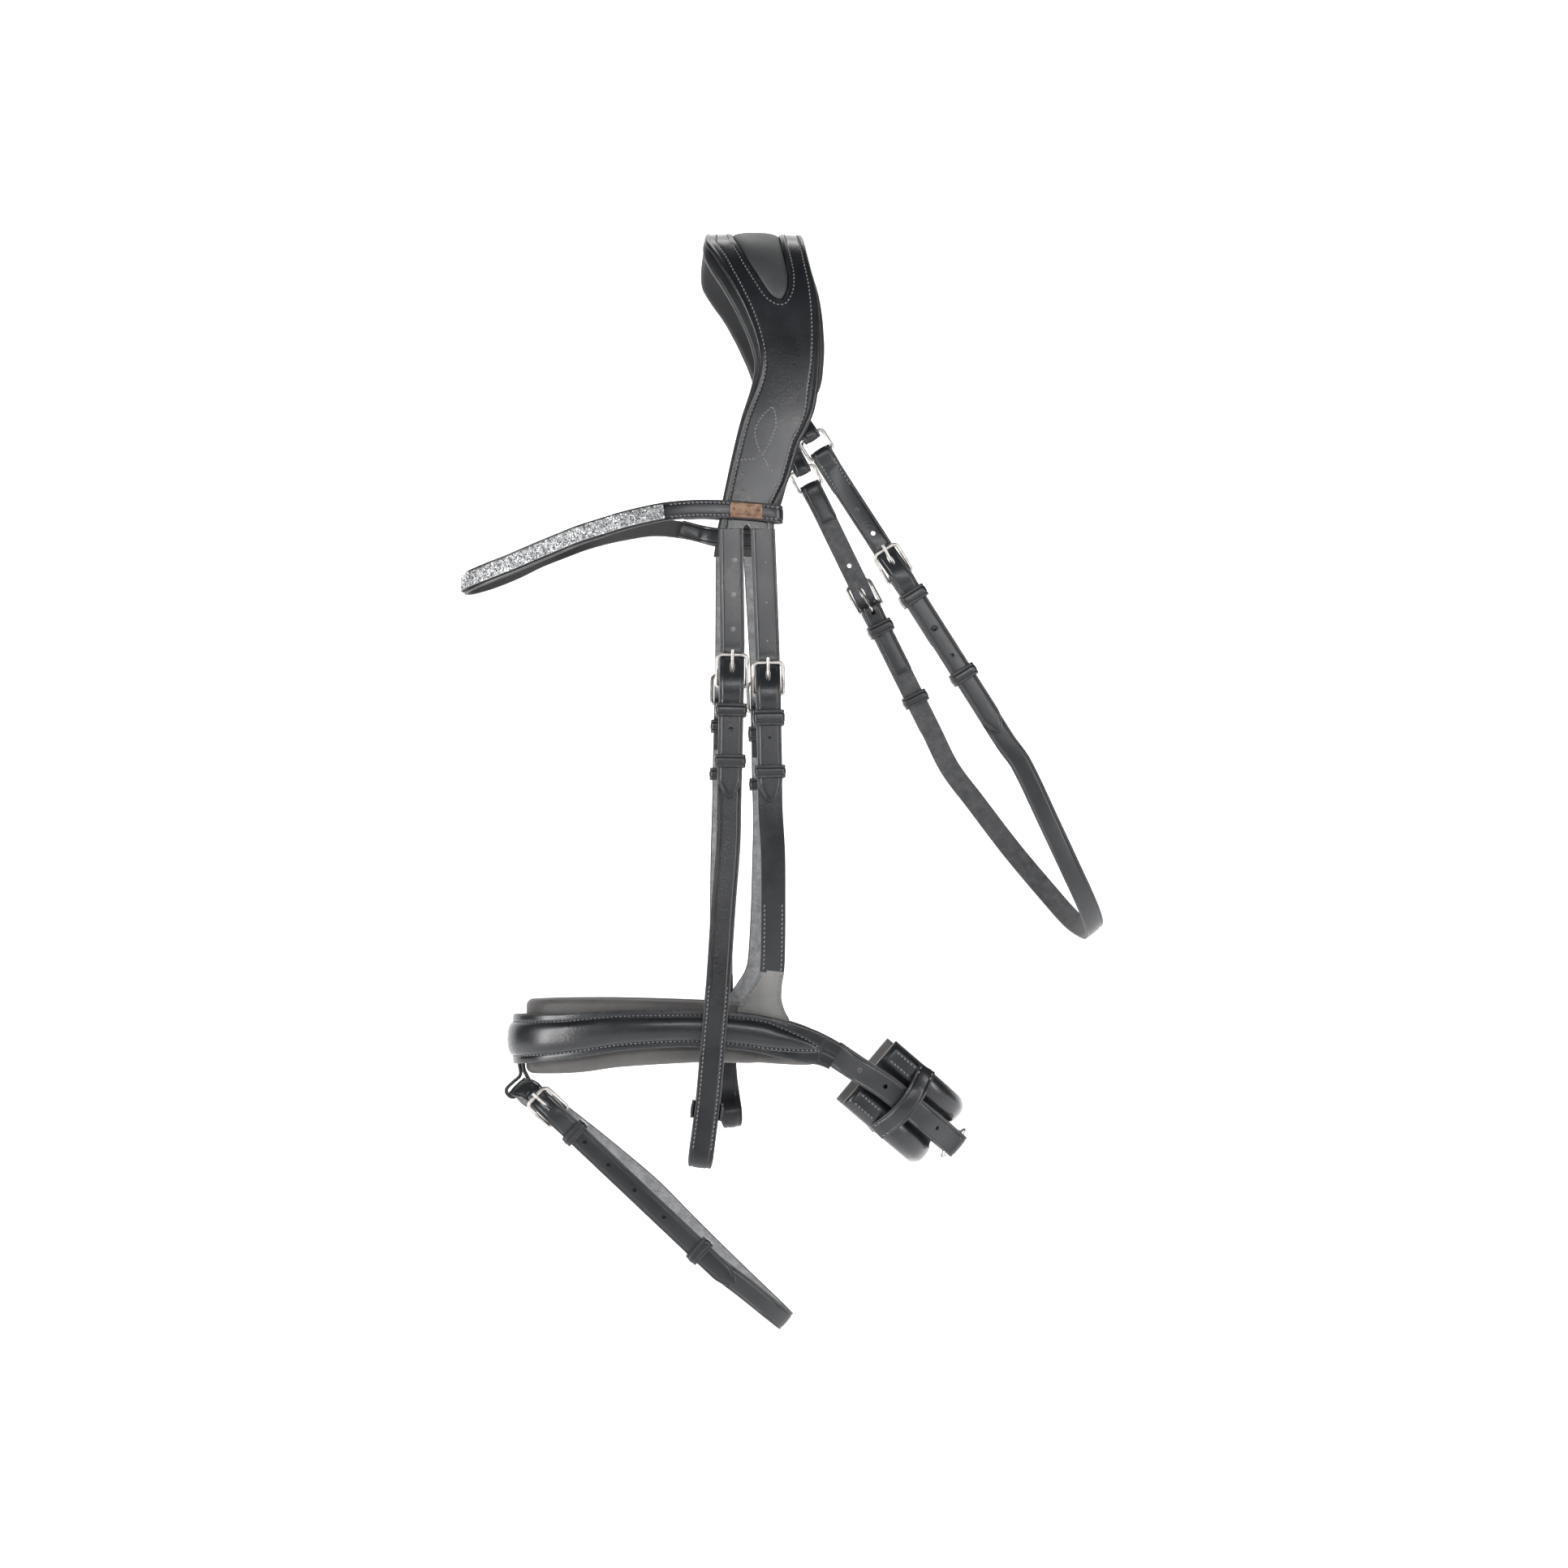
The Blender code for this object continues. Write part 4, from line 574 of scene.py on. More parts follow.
def wire(name, nodes, points, radius, closed=False, mat=None, body=None):
    """A round metal wire along a path of points."""
    curve = bpy.data.curves.new(name, "CURVE")
    curve.dimensions = "3D"
    curve.bevel_depth = radius * MM
    curve.bevel_resolution = 5
    curve.use_fill_caps = True
    spline = curve.splines.new("POLY")
    spline.points.add(len(points) - 1)
    for knot, point in zip(spline.points, points):
        knot.co = (*world(point), 1.0)
    spline.use_cyclic_u = closed
    guide = bpy.data.objects.new(name + "_path", curve)
    bpy.context.scene.collection.objects.link(guide)
    bpy.context.view_layer.update()
    mesh = bpy.data.meshes.new_from_object(guide.evaluated_get(bpy.context.evaluated_depsgraph_get()))
    bpy.data.objects.remove(guide, do_unlink=True)
    bm = bmesh.new()
    bm.from_mesh(mesh)
    bmesh.ops.remove_doubles(bm, verts=bm.verts, dist=0.00001)
    bmesh.ops.recalc_face_normals(bm, faces=bm.faces)
    bm.to_mesh(mesh)
    bm.free()
    mesh.materials.clear()
    return finish_piece(name, mesh, [mat or NICKEL], body or BODY_OF[nodes[0]], nodes)


# ---- stitches ------------------------------------------------------------------------
STITCHES = {}
STITCH_PITCH = 2.4
STITCH_HALF = 0.82
STITCH_R = 0.4
STITCH_SLANT = 0.2


def lay(body, spots):
    STITCHES.setdefault(body, []).extend(spots)


def stitch_run(body, rail, start, end, u, lift, pitch=STITCH_PITCH):
    """A row of stitches from length start to end along a strap, u across it."""
    count = max(1, round((end - start) / pitch))
    spots = []
    for k in range(count):
        s = start + (k + 0.5) * (end - start) / count
        spots.append(rail.spot(s, u, lift))
    lay(body, spots)


def stitch_path(body, route, normals, pitch=STITCH_PITCH):
    """A row of stitches along any line of points on a surface."""
    rail = Rail(route, normals, [1.0] * len(route))
    stitch_run(body, rail, 0.0, rail.length, 0.0, 0.0, pitch)


def make_stitches():
    shape = ((-1.0, 0.35, -0.16), (-0.72, 0.85, 0.0), (0.0, 1.0, 0.09), (0.72, 0.85, 0.0), (1.0, 0.35, -0.16))
    sides = 6
    for body, spots in STITCHES.items():
        verts = []
        faces = []
        for point, tangent, normal in spots:
            along = (tangent + tangent.cross(normal) * STITCH_SLANT).normalized()
            side = along.cross(normal).normalized()
            base = len(verts)
            for s, r, rise in shape:
                centre = point + along * (s * STITCH_HALF) + normal * rise
                for k in range(sides):
                    a = 2 * math.pi * k / sides
                    verts.append(world(centre + side * (math.cos(a) * r * STITCH_R)
                                       + normal * (math.sin(a) * r * STITCH_R)))
            for i in range(4):
                for k in range(sides):
                    a = base + i * sides + k
                    b = base + i * sides + (k + 1) % sides
                    faces.append((a, b, b + sides, a + sides))
            faces.append(tuple(base + k for k in range(sides)))
            faces.append(tuple(base + 4 * sides + k for k in range(sides)))
        mesh = bpy.data.meshes.new(body + "_stitches")
        mesh.from_pydata(verts, [], faces)
        mesh.update()
        finish_piece(body + "_stitches", mesh, [THREAD_PAINTED_SHINE], body, sharp=80.0)


# ---- buckle sets ---------------------------------------------------------------------
def keeper(name, place, s, length, width, low, high):
    """A leather loop with rounded rims round the strap layers."""
    half_w = width / 2 + RUNNER_CLEAR + THIN / 2
    half_h = (high - low) / 2 + RUNNER_CLEAR + THIN / 2
    middle = (high + low) / 2
    pts = []
    nrm = []
    for across, up in rounded_loop(half_w, half_h, 1.5, 5):
        pts.append(place.at(s, middle + up, across))
        nrm.append((place.w * across / half_w ** 3 + place.n * up / half_h ** 3).normalized())
    fine_p = []
    fine_n = []
    for i in range(len(pts)):
        a, b = pts[i], pts[(i + 1) % len(pts)]
        parts = max(1, round((b - a).length / 1.6))
        for k in range(parts):
            fine_p.append(a.lerp(b, k / parts))
            fine_n.append(nrm[i].lerp(nrm[(i + 1) % len(pts)], k / parts))
    flat_n = loop_normals(fine_p, place.at(s, middle))
    strap(name, [name], fine_p, flat_n, length, THIN, closed=True, ready=True, mats=[STRAP, STRAP, EDGE])


def cradle(name, place, length, width, low, high):
    """A keeper that passes behind the layers and ends at the strap's two edges."""
    half_w = width / 2 + RUNNER_CLEAR + THIN / 2
    floor = low - RUNNER_CLEAR - THIN / 2
    turn = 1.5
    across = [(half_w, high, 0), (half_w, (high + floor) / 2, 0)]
    for angle in (0, 30, 60, 90):
        a = math.radians(angle)
        across.append((half_w - turn + turn * math.cos(a), floor + turn - turn * math.sin(a), angle))
    across += [(half_w * 0.4, floor, 90)]
    across += [(-w, n, 180 - angle) for w, n, angle in reversed(across)]
    pts = []
    nrm = []
    for w, n, angle in across:
        a = math.radians(angle)
        pts.append(place.at(0.0, n, w))
        nrm.append(place.w * math.cos(a) - place.n * math.sin(a))
    strap(name, [name], pts, nrm, length, THIN, ready=True, mats=[STRAP, STRAP, EDGE])


def loop_normals(points, centre):
    """Normals of a closed flat loop, square to it and pointing away from its centre."""
    out = []
    count = len(points)
    axis = (points[count // 4] - centre).cross(points[0] - centre).normalized()
    for i in range(count):
        along = points[(i + 1) % count] - points[i - 1]
        normal = along.cross(axis).normalized()
        if normal.dot(points[i] - centre) < 0:
            normal = -normal
        out.append(normal)
    return out


def buckle_frame(name, place, width, rise=BUCKLE_RISE, lift=BUCKLE_LIFT):
    half = width / 2 + RUNNER_CLEAR + WIRE
    slope = math.hypot(rise, lift)
    up = (place.at(-rise, lift) - place.o) / slope
    middle = place.o + up * (slope / 2)
    pts = [middle + place.w * a + up * b for a, b in rounded_loop(half, slope / 2, 3.0, 8, BAR_CORNER)]
    wire(name, [name], pts, WIRE, closed=True)


def tongue(name, place, rise=BUCKLE_RISE, lift=BUCKLE_LIFT):
    """The pin: an eye round the bar and a shank that rests on the top bar."""
    eye = WIRE + GAP + TONGUE
    tip_s = -rise - 0.6
    tip_n = lift + WIRE + GAP + TONGUE + 0.75
    leave = math.atan2(tip_n, tip_s) + math.acos(eye / math.hypot(tip_s, tip_n))
    pts = []
    for k in range(25):
        angle = leave + math.radians(272) * (1 - k / 24)
        pts.append(place.at(eye * math.cos(angle), eye * math.sin(angle)))
    pts.append(place.at(tip_s, tip_n))
    pts.append(place.at(tip_s - 1.6, tip_n - 0.1))
    wire(name, [name], pts, TONGUE)


def fold_path(place, back_length):
    points = [place.at(back_length, -LAYER), place.at(back_length * 0.6, -LAYER), place.at(9.0, -LAYER),
              place.at(4.5, -FOLD_R * 0.86)]
    for angle in (270, 235, 205, 180, 155, 125, 90):
        turn = math.radians(angle)
        points.append(place.at(FOLD_R * math.cos(turn), FOLD_R * math.sin(turn)))
    points += [place.at(4.5, FOLD_R * 0.86), place.at(9.0, LAYER)]
    return points


def fold_normals(place):
    out = [-place.n] * 4
    for angle in (270, 235, 205, 180, 155, 125, 90):
        turn = math.radians(angle)
        out.append(place.s * math.cos(turn) + place.n * math.sin(turn))
    return out + [place.n] * 2


def billet_path(place, rise=BUCKLE_RISE):
    return [place.at(-rise - 7, BILLET_TOP_N), place.at(-rise - 1.5, BILLET_TOP_N),
            place.at(-12.5, 2.2), place.at(-7.5, 3.9), place.at(-3.0, 5.25), place.at(1.5, 5.45),
            place.at(4.8, 5.05), place.at(8.2, BILLET_N), place.at(14.0, BILLET_N)]


def billet_holes(place, used_s, spare, radius=HOLE_R):
    places = [(place.at(used_s, 3.0), place.n, place.s, 3.5, TONGUE + 0.45, 4.0)]
    for s, n in spare:
        places.append((place.at(s, n), place.n, place.s, radius, radius, 2.0))
    return hole_tool(places)


def fold_stitches(body, rail, place, start, end):
    """Two rows that close a fold beside its buckle, on the strap's outer layer."""
    low = rail.nearest(place.at(start, LAYER))
    high = rail.nearest(place.at(end, LAYER))
    for sign in (-1, 1):
        stitch_run(body, rail, low, high, lambda h, k=sign: k * (h - 2.0), LEATHER / 2 - 0.12)


# ---- headpiece -----------------------------------------------------------------------
ARCH = [(0, 10.6), (-14, 8.9), (-27, 3.4), (-37, -6), (-44.5, -19), (-49.5, -34), (-52.3, -51),
        (-54.2, -72), (-55, -95), (-55, -120), (-55, -142), (-55, -163.2)]
FRONT_X = [(10.6, -29.0), (3, -30.0), (-1, -29.2), (-8.6, -25), (-17, -20.6), (-24.5, -16.4), (-33, -12.2),
           (-39.4, -9.2), (-47.4, -6), (-54.3, -3.6), (-63.5, -1.4), (-74, -0.8), (-84, -3.0), (-102, -9.7),
           (-121, -14.6), (-145, -19.9), (-163.2, -22.7)]
BACK_X = [(10.6, 25.0), (2, 25.6), (-13, 27.8), (-30, 31.2), (-43, 32.6), (-60, 33), (-77, 32.5), (-88, 31.4),
          (-98, 29.4), (-107, 25.8), (-115, 21.8), (-136, 15.4), (-147, 10.2), (-153, 7.6), (-163.2, 7.4)]
PAD_FRONT_X = [(10.6, -30.0), (3, -31.0), (-4, -30.8), (-9, -29.4), (-17, -25.8), (-24.5, -21.6),
               (-33, -17.2), (-39.4, -14.0), (-47.4, -10.4), (-54.3, -7.4), (-63.5, -4.4), (-72, -3),
               (-84, -5), (-102, -10.6), (-121, -15.2), (-147, -20.7)]
PAD_BACK_X = [(10.6, 26.0), (2, 26.8), (-13, 29.0), (-30, 32.8), (-43, 34.6), (-53, 35.3), (-62, 35.6),
              (-72, 35), (-81, 33.9), (-88, 31.0), (-94, 22.6), (-101, 14.6), (-115, 12.1), (-136, 9.6),
              (-147, 8.6)]
FAR_FRONT = [(-8, 0.0), (-30, 4.0), (-92, 4.0), (-122, 0.0)]   # how much further back the far front edge lies
INSERT_FRONT = [(12, -14.8), (4, -13.8), (-1, -11.8), (-10.5, -7.4), (-18.4, -3.2), (-26.3, 1.3),
                (-32.4, 5.4), (-35.5, 10.0)]
INSERT_BACK = [(12, 12.0), (2, 12.6), (-6.5, 13.8), (-15.5, 15.4), (-23, 16.0), (-30, 15.2), (-35.5, 12.2)]
INSERT_END = -35.0
FRONT_ROW = [(10.6, 6.4), (-8, 6.2), (-22, 5.2), (-40, 4.6), (-60, 3.8), (-163.2, 3.5)]
BACK_ROW = [(10.6, 2.8), (-18, 3.2), (-36, 4.2), (-68, 4.7), (-86, 5.8), (-104, 4.6), (-163.2, 3.5)]
INSERT_ROW = 2.9         # the same from the insert's outline
ROOT_Z = -163.6


class Arch:
    """The headpiece's middle surface: length from the crest to a point and its outward normal."""

    def __init__(self):
        route = [Vector((0.0, y, z)) for y, z in ARCH]
        knots = knots_of(route)
        counts = [max(4, math.ceil((b - a) / 2.0)) for a, b in zip(knots, knots[1:])]
        self.p = smooth(route, knots, counts)
        self.run = knots_of(self.p)
        self.n = [Vector((0.0, 0.0, 1.0))]
        for i in range(1, len(self.p)):
            along = self.p[min(i + 1, len(self.p) - 1)] - self.p[i - 1]
            self.n.append(Vector((0.0, along.z, -along.y)).normalized())

    def at(self, s, x, lift, side=-1):
        s = min(max(s, 0.0), self.run[-1])
        i = min(max(bisect.bisect_right(self.run, s) - 1, 0), len(self.p) - 2)
        t = (s - self.run[i]) / (self.run[i + 1] - self.run[i])
        point = self.p[i].lerp(self.p[i + 1], t)
        normal = self.n[i].lerp(self.n[i + 1], t).normalized()
        point = point + normal * lift
        return Vector((x, -side * point.y, point.z)), Vector((0.0, -side * normal.y, normal.z))

    def length_at(self, z):
        if z >= self.p[0].z:
            return 0.0
        for i in range(1, len(self.p)):
            if self.p[i].z <= z:
                t = (self.p[i - 1].z - z) / (self.p[i - 1].z - self.p[i].z)
                return self.run[i - 1] + t * (self.run[i] - self.run[i - 1])
        return self.run[-1]

    def z_at(self, s):
        return self.at(s, 0.0, 0.0)[0].z


ARC = Arch()


def insert_outline():
    """The insert's outline as fine (x, z) points, from the front of the crest round to the back."""
    edge = INSERT_FRONT + INSERT_BACK[::-1]
    route = [Vector((x, 0.0, z)) for z, x in edge]
    knots = knots_of(route)
    return smooth(route, knots, [max(2, math.ceil((b - a) / 1.2)) for a, b in zip(knots, knots[1:])])


OUTLINE = insert_outline()
OUTLINE_FLAT = [Vector((p.x, ARC.length_at(p.z))) for p in OUTLINE]


def to_outline(x, s):
    here = Vector((x, s))
    best = 1e9
    for a, b in zip(OUTLINE_FLAT, OUTLINE_FLAT[1:]):
        ab = b - a
        size = ab.length_squared
        t = 0.0 if size == 0 else min(1.0, max(0.0, (here - a).dot(ab) / size))
        best = min(best, (here - a - ab * t).length)
    return best


def bell(x, width):
    return math.exp(-(x / width) ** 2)


def relief(d, row):
    """Rolled rim, then a seat for the stitches, at distance d from an edge."""
    if d < 0.0:
        return 0.0
    rim = 0.5 * math.sin(math.pi * min(d, 2.9) / 2.9) - 0.55 * bell(d, 0.55)
    return rim - 0.34 * bell(d - row, 0.5)


EDGE_LINES = (0.0, 0.35, 0.8, 1.4, 2.0, 2.5, 2.9, 3.3, 3.7, 4.1, 4.5, 4.9, 5.3, 5.7, 6.1, 6.5, 7.0)


def arch_rows(front, back, low, grow):
    """Stations down one side: (length, front x, back x)."""
    last = ARC.length_at(low)
    count = math.ceil(last / 1.7)
    out = []
    for i in range(count + 1):
        s = last * i / count
        z = ARC.z_at(s)
        out.append((s, read(front, z) - grow, read(back, z) + grow))
    return out


def both_sides(rows, ring_at):
    """Rings for the whole arch from the near end over the crest to the far end."""
    near = [ring_at(s, x0, x1, -1) for s, x0, x1 in reversed(rows)]
    far = [ring_at(s, x0 + read(FAR_FRONT, ARC.z_at(s)), x1, 1) for s, x0, x1 in rows[1:]]
    return near + far


def swell(x, z):
    """How far the headpiece's leather rises between its two edge rows."""
    low = read(FRONT_X, z) + read(FRONT_ROW, z)
    high = read(BACK_X, z) - read(BACK_ROW, z)
    if not low < x < high:
        return 0.0
    return 0.5 * (1.0 - ((2 * x - low - high) / (high - low)) ** 2)


def make_headpiece():
    rows = arch_rows(FRONT_X, BACK_X, -163.3, 0.0)
    middles = 26
    half = LEATHER / 2

    def ring_at(s, x0, x1, side):
        z = ARC.z_at(s)
        ds = list(EDGE_LINES)
        step = (x1 - x0 - 2 * ds[-1]) / (middles + 1)
        xs = [x0 + d for d in ds] + [x0 + ds[-1] + step * (k + 1) for k in range(middles)]
        xs += [x1 - d for d in reversed(ds)]
        ring = []
        for x in xs:
            row = read(FRONT_ROW if x - x0 < x1 - x else BACK_ROW, z)
            lift = relief(min(x - x0, x1 - x), row) + swell(x, z)
            if s < 62.0:
                inner = to_outline(x, s)
                if inner < 5.0:
                    lift += relief(inner, INSERT_ROW)
            ring.append(ARC.at(s, x, half + lift, side)[0])
        for x, n in ((x1 + 0.12, 0.45), (x1 + 0.12, -0.45), (x1 - 0.5, -half), ((x0 + x1) / 2, -half),
                     (x0 + 0.5, -half), (x0 - 0.12, -0.45), (x0 - 0.12, 0.45)):
            ring.append(ARC.at(s, x, n, side)[0])
        return ring

    top = 2 * len(EDGE_LINES) + middles
    slots = [0] * (top - 1) + [2] * 3 + [1] * 2 + [2] * 3
    rims = [1.2] * top + [0.1] * 7
    for k, d in enumerate(EDGE_LINES):
        rims[k] = d + 0.2
        rims[top - 1 - k] = d + 0.2
    mesh = skin("headpiece", both_sides(rows, ring_at), slots, rims)
    bm = bmesh.new()
    outline = [Vector((OUTLINE[0].x, 0.0, 22.0))] + OUTLINE + [Vector((OUTLINE[-1].x, 0.0, 22.0))]
    front = [bm.verts.new(world(Vector((p.x, -70.0, p.z)))) for p in outline]
    face = bm.faces.new(front)
    made = bmesh.ops.extrude_face_region(bm, geom=[face])
    moved = [item for item in made["geom"] if isinstance(item, bmesh.types.BMVert)]
    bmesh.ops.translate(bm, verts=moved, vec=(0.0, 140.0 * MM, 0.0))
    opening = mesh_from(bm, "opening")
    split = hole_tool([(Vector((-7.4, side * 55.0, -163.4)), Vector((0, 1, 0)), Vector((0, 0, 1)),
                        3.0, 1.9, 5.0) for side in (-1, 1)])
    mats = [GRAIN, LINING, EDGE]
    mesh = carve(mesh, [opening, split], mats)
    finish_piece("headpiece_leather_detail", mesh, mats, "root", ["headpiece_leather"])
    headpiece_stitches(rows)


def headpiece_stitches(rows):
    lift = LEATHER / 2 - 0.12
    for side in (-1, 1):
        for edge in (1, 2):
            pts = []
            nrm = []
            for row in rows[1:]:
                z = ARC.z_at(row[0])
                x = row[edge] + (read(FRONT_ROW, z) if edge == 1 else -read(BACK_ROW, z))
                if side > 0 and edge == 1:
                    x += read(FAR_FRONT, z)
                point, normal = ARC.at(row[0], x, lift, side)
                if point.z > -161.0:
                    pts.append(point)
                    nrm.append(normal)
            stitch_path("root", pts, nrm)
        insert_row(side, lift)
        leaf(side, lift)


def insert_row(side, lift):
    """The row round the poll insert, outside its outline."""
    pts = []
    nrm = []
    flat = OUTLINE_FLAT
    for i in range(len(flat)):
        a = flat[max(i - 1, 0)]
        b = flat[min(i + 1, len(flat) - 1)]
        along = b - a
        if along.length < 1e-6:
            continue
        along.normalize()
        out = Vector((-along.y, along.x))
        if out.dot(flat[i] - Vector((4.0, 12.0))) < 0:
            out = -out
        spot = flat[i] + out * INSERT_ROW
        if spot.y <= 0.3:
            continue
        point, normal = ARC.at(spot.y, spot.x, lift + swell(spot.x, ARC.z_at(spot.y)), side)
        pts.append(point)
        nrm.append(normal)
    stitch_path("root", pts, nrm)


LEAF = [(6.6, -95.6), (1.6, -100.4), (-2.4, -107.0), (-2.6, -113.0), (1.0, -121.6), (5.4, -114.6),
        (8.4, -106.6), (8.2, -100.0), (6.6, -95.6)]
LEAF_TAIL = [(1.0, -121.6), (3.4, -127.0), (6.8, -131.6)]
CROSS_ROW = [(-13.6, -125.6), (-8.0, -125.0), (-2.6, -124.6)]


def leaf(side, lift):
    """A leaf stitched on each cheek of the headpiece, its tail, and a short cross row."""
    for table in (LEAF, LEAF_TAIL, CROSS_ROW):
        route = [Vector((x, 0.0, z)) for x, z in table]
        knots = knots_of(route)
        fine = smooth(route, knots, [6] * (len(route) - 1))
        pts = []
        nrm = []
        for p in fine:
            point, normal = ARC.at(ARC.length_at(p.z), p.x, lift + 0.12 + swell(p.x, p.z), side)
            pts.append(point)
            nrm.append(normal)
        stitch_path("root", pts, nrm, 2.1)


def make_headpiece_pad():
    """The soft lining: full rounded rims, a seam inside them, and a cushioned middle."""
    rows = arch_rows(PAD_FRONT_X, PAD_BACK_X, -147.0, 0.0)
    deep = LEATHER / 2 + GAP + 2.6
    thick = 5.0
    turn = 7

    def ring_at(s, x0, x1, side):
        mid = (x0 + x1) / 2
        h = (x1 - x0) / 2
        end = min(1.0, 0.5 + (ARC.length_at(-147.0) - s) / 6.0)
        ring = []
        for k in range(5):
            u = -1 + 2 * (k + 1) / 6
            ring.append((mid + u * (h - 2.4), thick / 2))
        for k in range(turn):
            a = math.pi / 2 - math.pi * (k + 0.5) / turn
            ring.append((x1 - 2.4 + 2.4 * math.cos(a), math.sin(a) * thick / 2))
        for k in range(11):
            u = 1 - 2 * (k + 0.5) / 11
            seam = 0.9 * bell((abs(u) * (h - 2.4) - (h - 6.0)), 0.9)
            ring.append((mid + u * (h - 2.4), -thick / 2 + seam - 0.25 * (1 - u * u)))
        for k in range(turn):
            a = -math.pi / 2 - math.pi * (k + 0.5) / turn
            ring.append((x0 + 2.4 + 2.4 * math.cos(a), math.sin(a) * thick / 2))
        return [ARC.at(s, x, -deep + n * end, side)[0] for x, n in ring]

    count = 5 + turn + 11 + turn
    slots = [0] * (5 + turn - 1) + [1] * 12 + [0] * turn
    mesh = skin("pad", both_sides(rows, ring_at), slots, [3.0] * count)
    # Its underside takes the lining with painted shade.
    pad = finish_piece("headpiece_padding_detail", mesh, [ROLL, LINING_PAINTED_SHADE, ROLL], "root", ["headpiece_padding"],
                       sharp=80.0)


def make_insert():
    """The crowned poll insert, full in the middle and tucked under the leather's rim."""
    last = ARC.length_at(INSERT_END)
    count = 26
    cols = 17
    low = 0.1
    rings = []

    def edges(s):
        z = ARC.z_at(s)
        return read(INSERT_FRONT, z), read(INSERT_BACK, z)

    def ring_at(s, side):
        x0, x1 = edges(s)
        x0 += 0.45
        x1 -= 0.45
        tail = min(1.0, (last - s) / 9.0)
        crown = math.sqrt(max(0.0, 1 - (1 - tail) ** 2))
        ring = []
        for k in range(cols):
            u = -math.cos(math.pi * k / (cols - 1))
            full = (1 - abs(u) ** 2.6) ** 0.55 if abs(u) < 1 else 0.0
            ring.append(ARC.at(s, (x0 + x1) / 2 + u * (x1 - x0) / 2, low + 2.5 * full * crown, side)[0])
        for k in range(5):
            u = 1 - 2 * (k + 0.5) / 5
            ring.append(ARC.at(s, (x0 + x1) / 2 + u * (x1 - x0) / 2, -0.85, side)[0])
        return ring

    marks = [last * math.sin(math.pi / 2 * k / count) for k in range(count + 1)]
    for s in reversed(marks[1:]):
        rings.append(ring_at(min(s, last - 0.25), -1))
    rings.append(ring_at(0.0, -1))
    for s in marks[1:]:
        rings.append(ring_at(min(s, last - 0.25), 1))
    total = cols + 5
    mesh = skin("insert", rings, [0] * total, [3.0] * total)
    piece = finish_piece("poll_insert_detail", mesh, [POLL, POLL, POLL], "root", ["poll_insert_pad"],
                         sharp=70.0)


# ---- cheek and noseband straps -------------------------------------------------------
CHEEK_BAR = (-15.6, -249.4)
REAR_BAR = {-1: (4.4, -253.6), 1: (5.8, -253.6)}
CHEEK_ROOT_X = {-1: -16.0, 1: -14.8}
REAR_ROOT_X = 1.4
CHEEK_RUN = {
    -1: [(-17.4, 55.8, -336), (-20.0, 57.0, -370), (-22.8, 58.4, -412),
         (-25.2, 59.3, -440), (-28.2, 59.7, -474), (-31.4, 59.7, -500)],
    1: [(-17.5, 55.8, -336), (-17.9, 57.0, -370), (-17.9, 58.4, -406),
        (-17.2, 59.3, -435), (-15.2, 59.7, -466), (-12.6, 59.7, -485)],
}
HANGER_RUN = {
    -1: [(7.0, 54.4, -340), (7.3, 52.0, -366), (7.3, 49.6, -388), (6.8, 47.4, -404)],
    1: [(6.6, 54.4, -340), (5.8, 52.0, -366), (4.8, 49.6, -386), (3.6, 47.4, -400)],
}
GUSSET_RUN = [(-1.8, 46.0, -8.0), (-3.8, 45.2, -15.0), (-5.2, 44.8, -22.0), (-5.6, 44.6, -27.0)]
GUSSET_W = [(-27.0, 31.5), (-22.0, 27.0), (-18.0, 22.6), (-14.0, 18.8), (-10.0, 16.0), (-5.0, 13.9),
            (0.0, CHEEK_W)]
SIDE_NAME = {-1: "near", 1: "far"}
BIT_LOOP = 3.9
BIT_KEEPER = {-1: (-1, 0.2), 1: (-2, 0.55)}   # which stretch of the run, and how far along it
FOLD_SHAPE = {           # share of the cheek strap's width, by distance from the end of that fold
    -1: [(0.0, 0.9), (2.5, 0.95), (6.0, 1.0)],
    1: [(0.0, 0.66), (2.0, 0.8), (5.0, 0.92), (9.0, 1.0)],
}
RUNNER_S = 41.0
FIXED_S = 13.2
TIP_S = 61.0


def side_point(x, y, z, side):
    return Vector((x, side * y, z))


def cheek_place(side, bar):
    return Place((bar[0], side * SIDE_Y, bar[1]), (-0.02, 0.0, -1.0), (0.0, side, 0.0))


def make_billet(name, place, root, side, used_s, spare, tip_s=TIP_S, body=None, hole=HOLE_R):
    path = [root, root + (place.at(-BUCKLE_RISE - 7, BILLET_TOP_N) - root) * 0.5]
    path += billet_path(place)
    path += [place.at(tip_s * 0.45, BILLET_N), place.at(tip_s * 0.75, BILLET_N), place.at(tip_s, BILLET_N)]
    outward = [Vector((0.0, float(side), 0.0))] * len(path)
    return strap(name + "_detail", [name], path, outward, CHEEK_W, tip=12.0, body=body, flush=True,
                 cuts=[billet_holes(place, used_s, spare, hole)])


def bit_place(run, side):
    """Where the keeper sits on the layers that hold the bit."""
    end, share = BIT_KEEPER[side]
    low = run[end]
    high = run[end - 1]
    return Place(high + (low - high) * share, low - high, (0.0, side, 0.0))


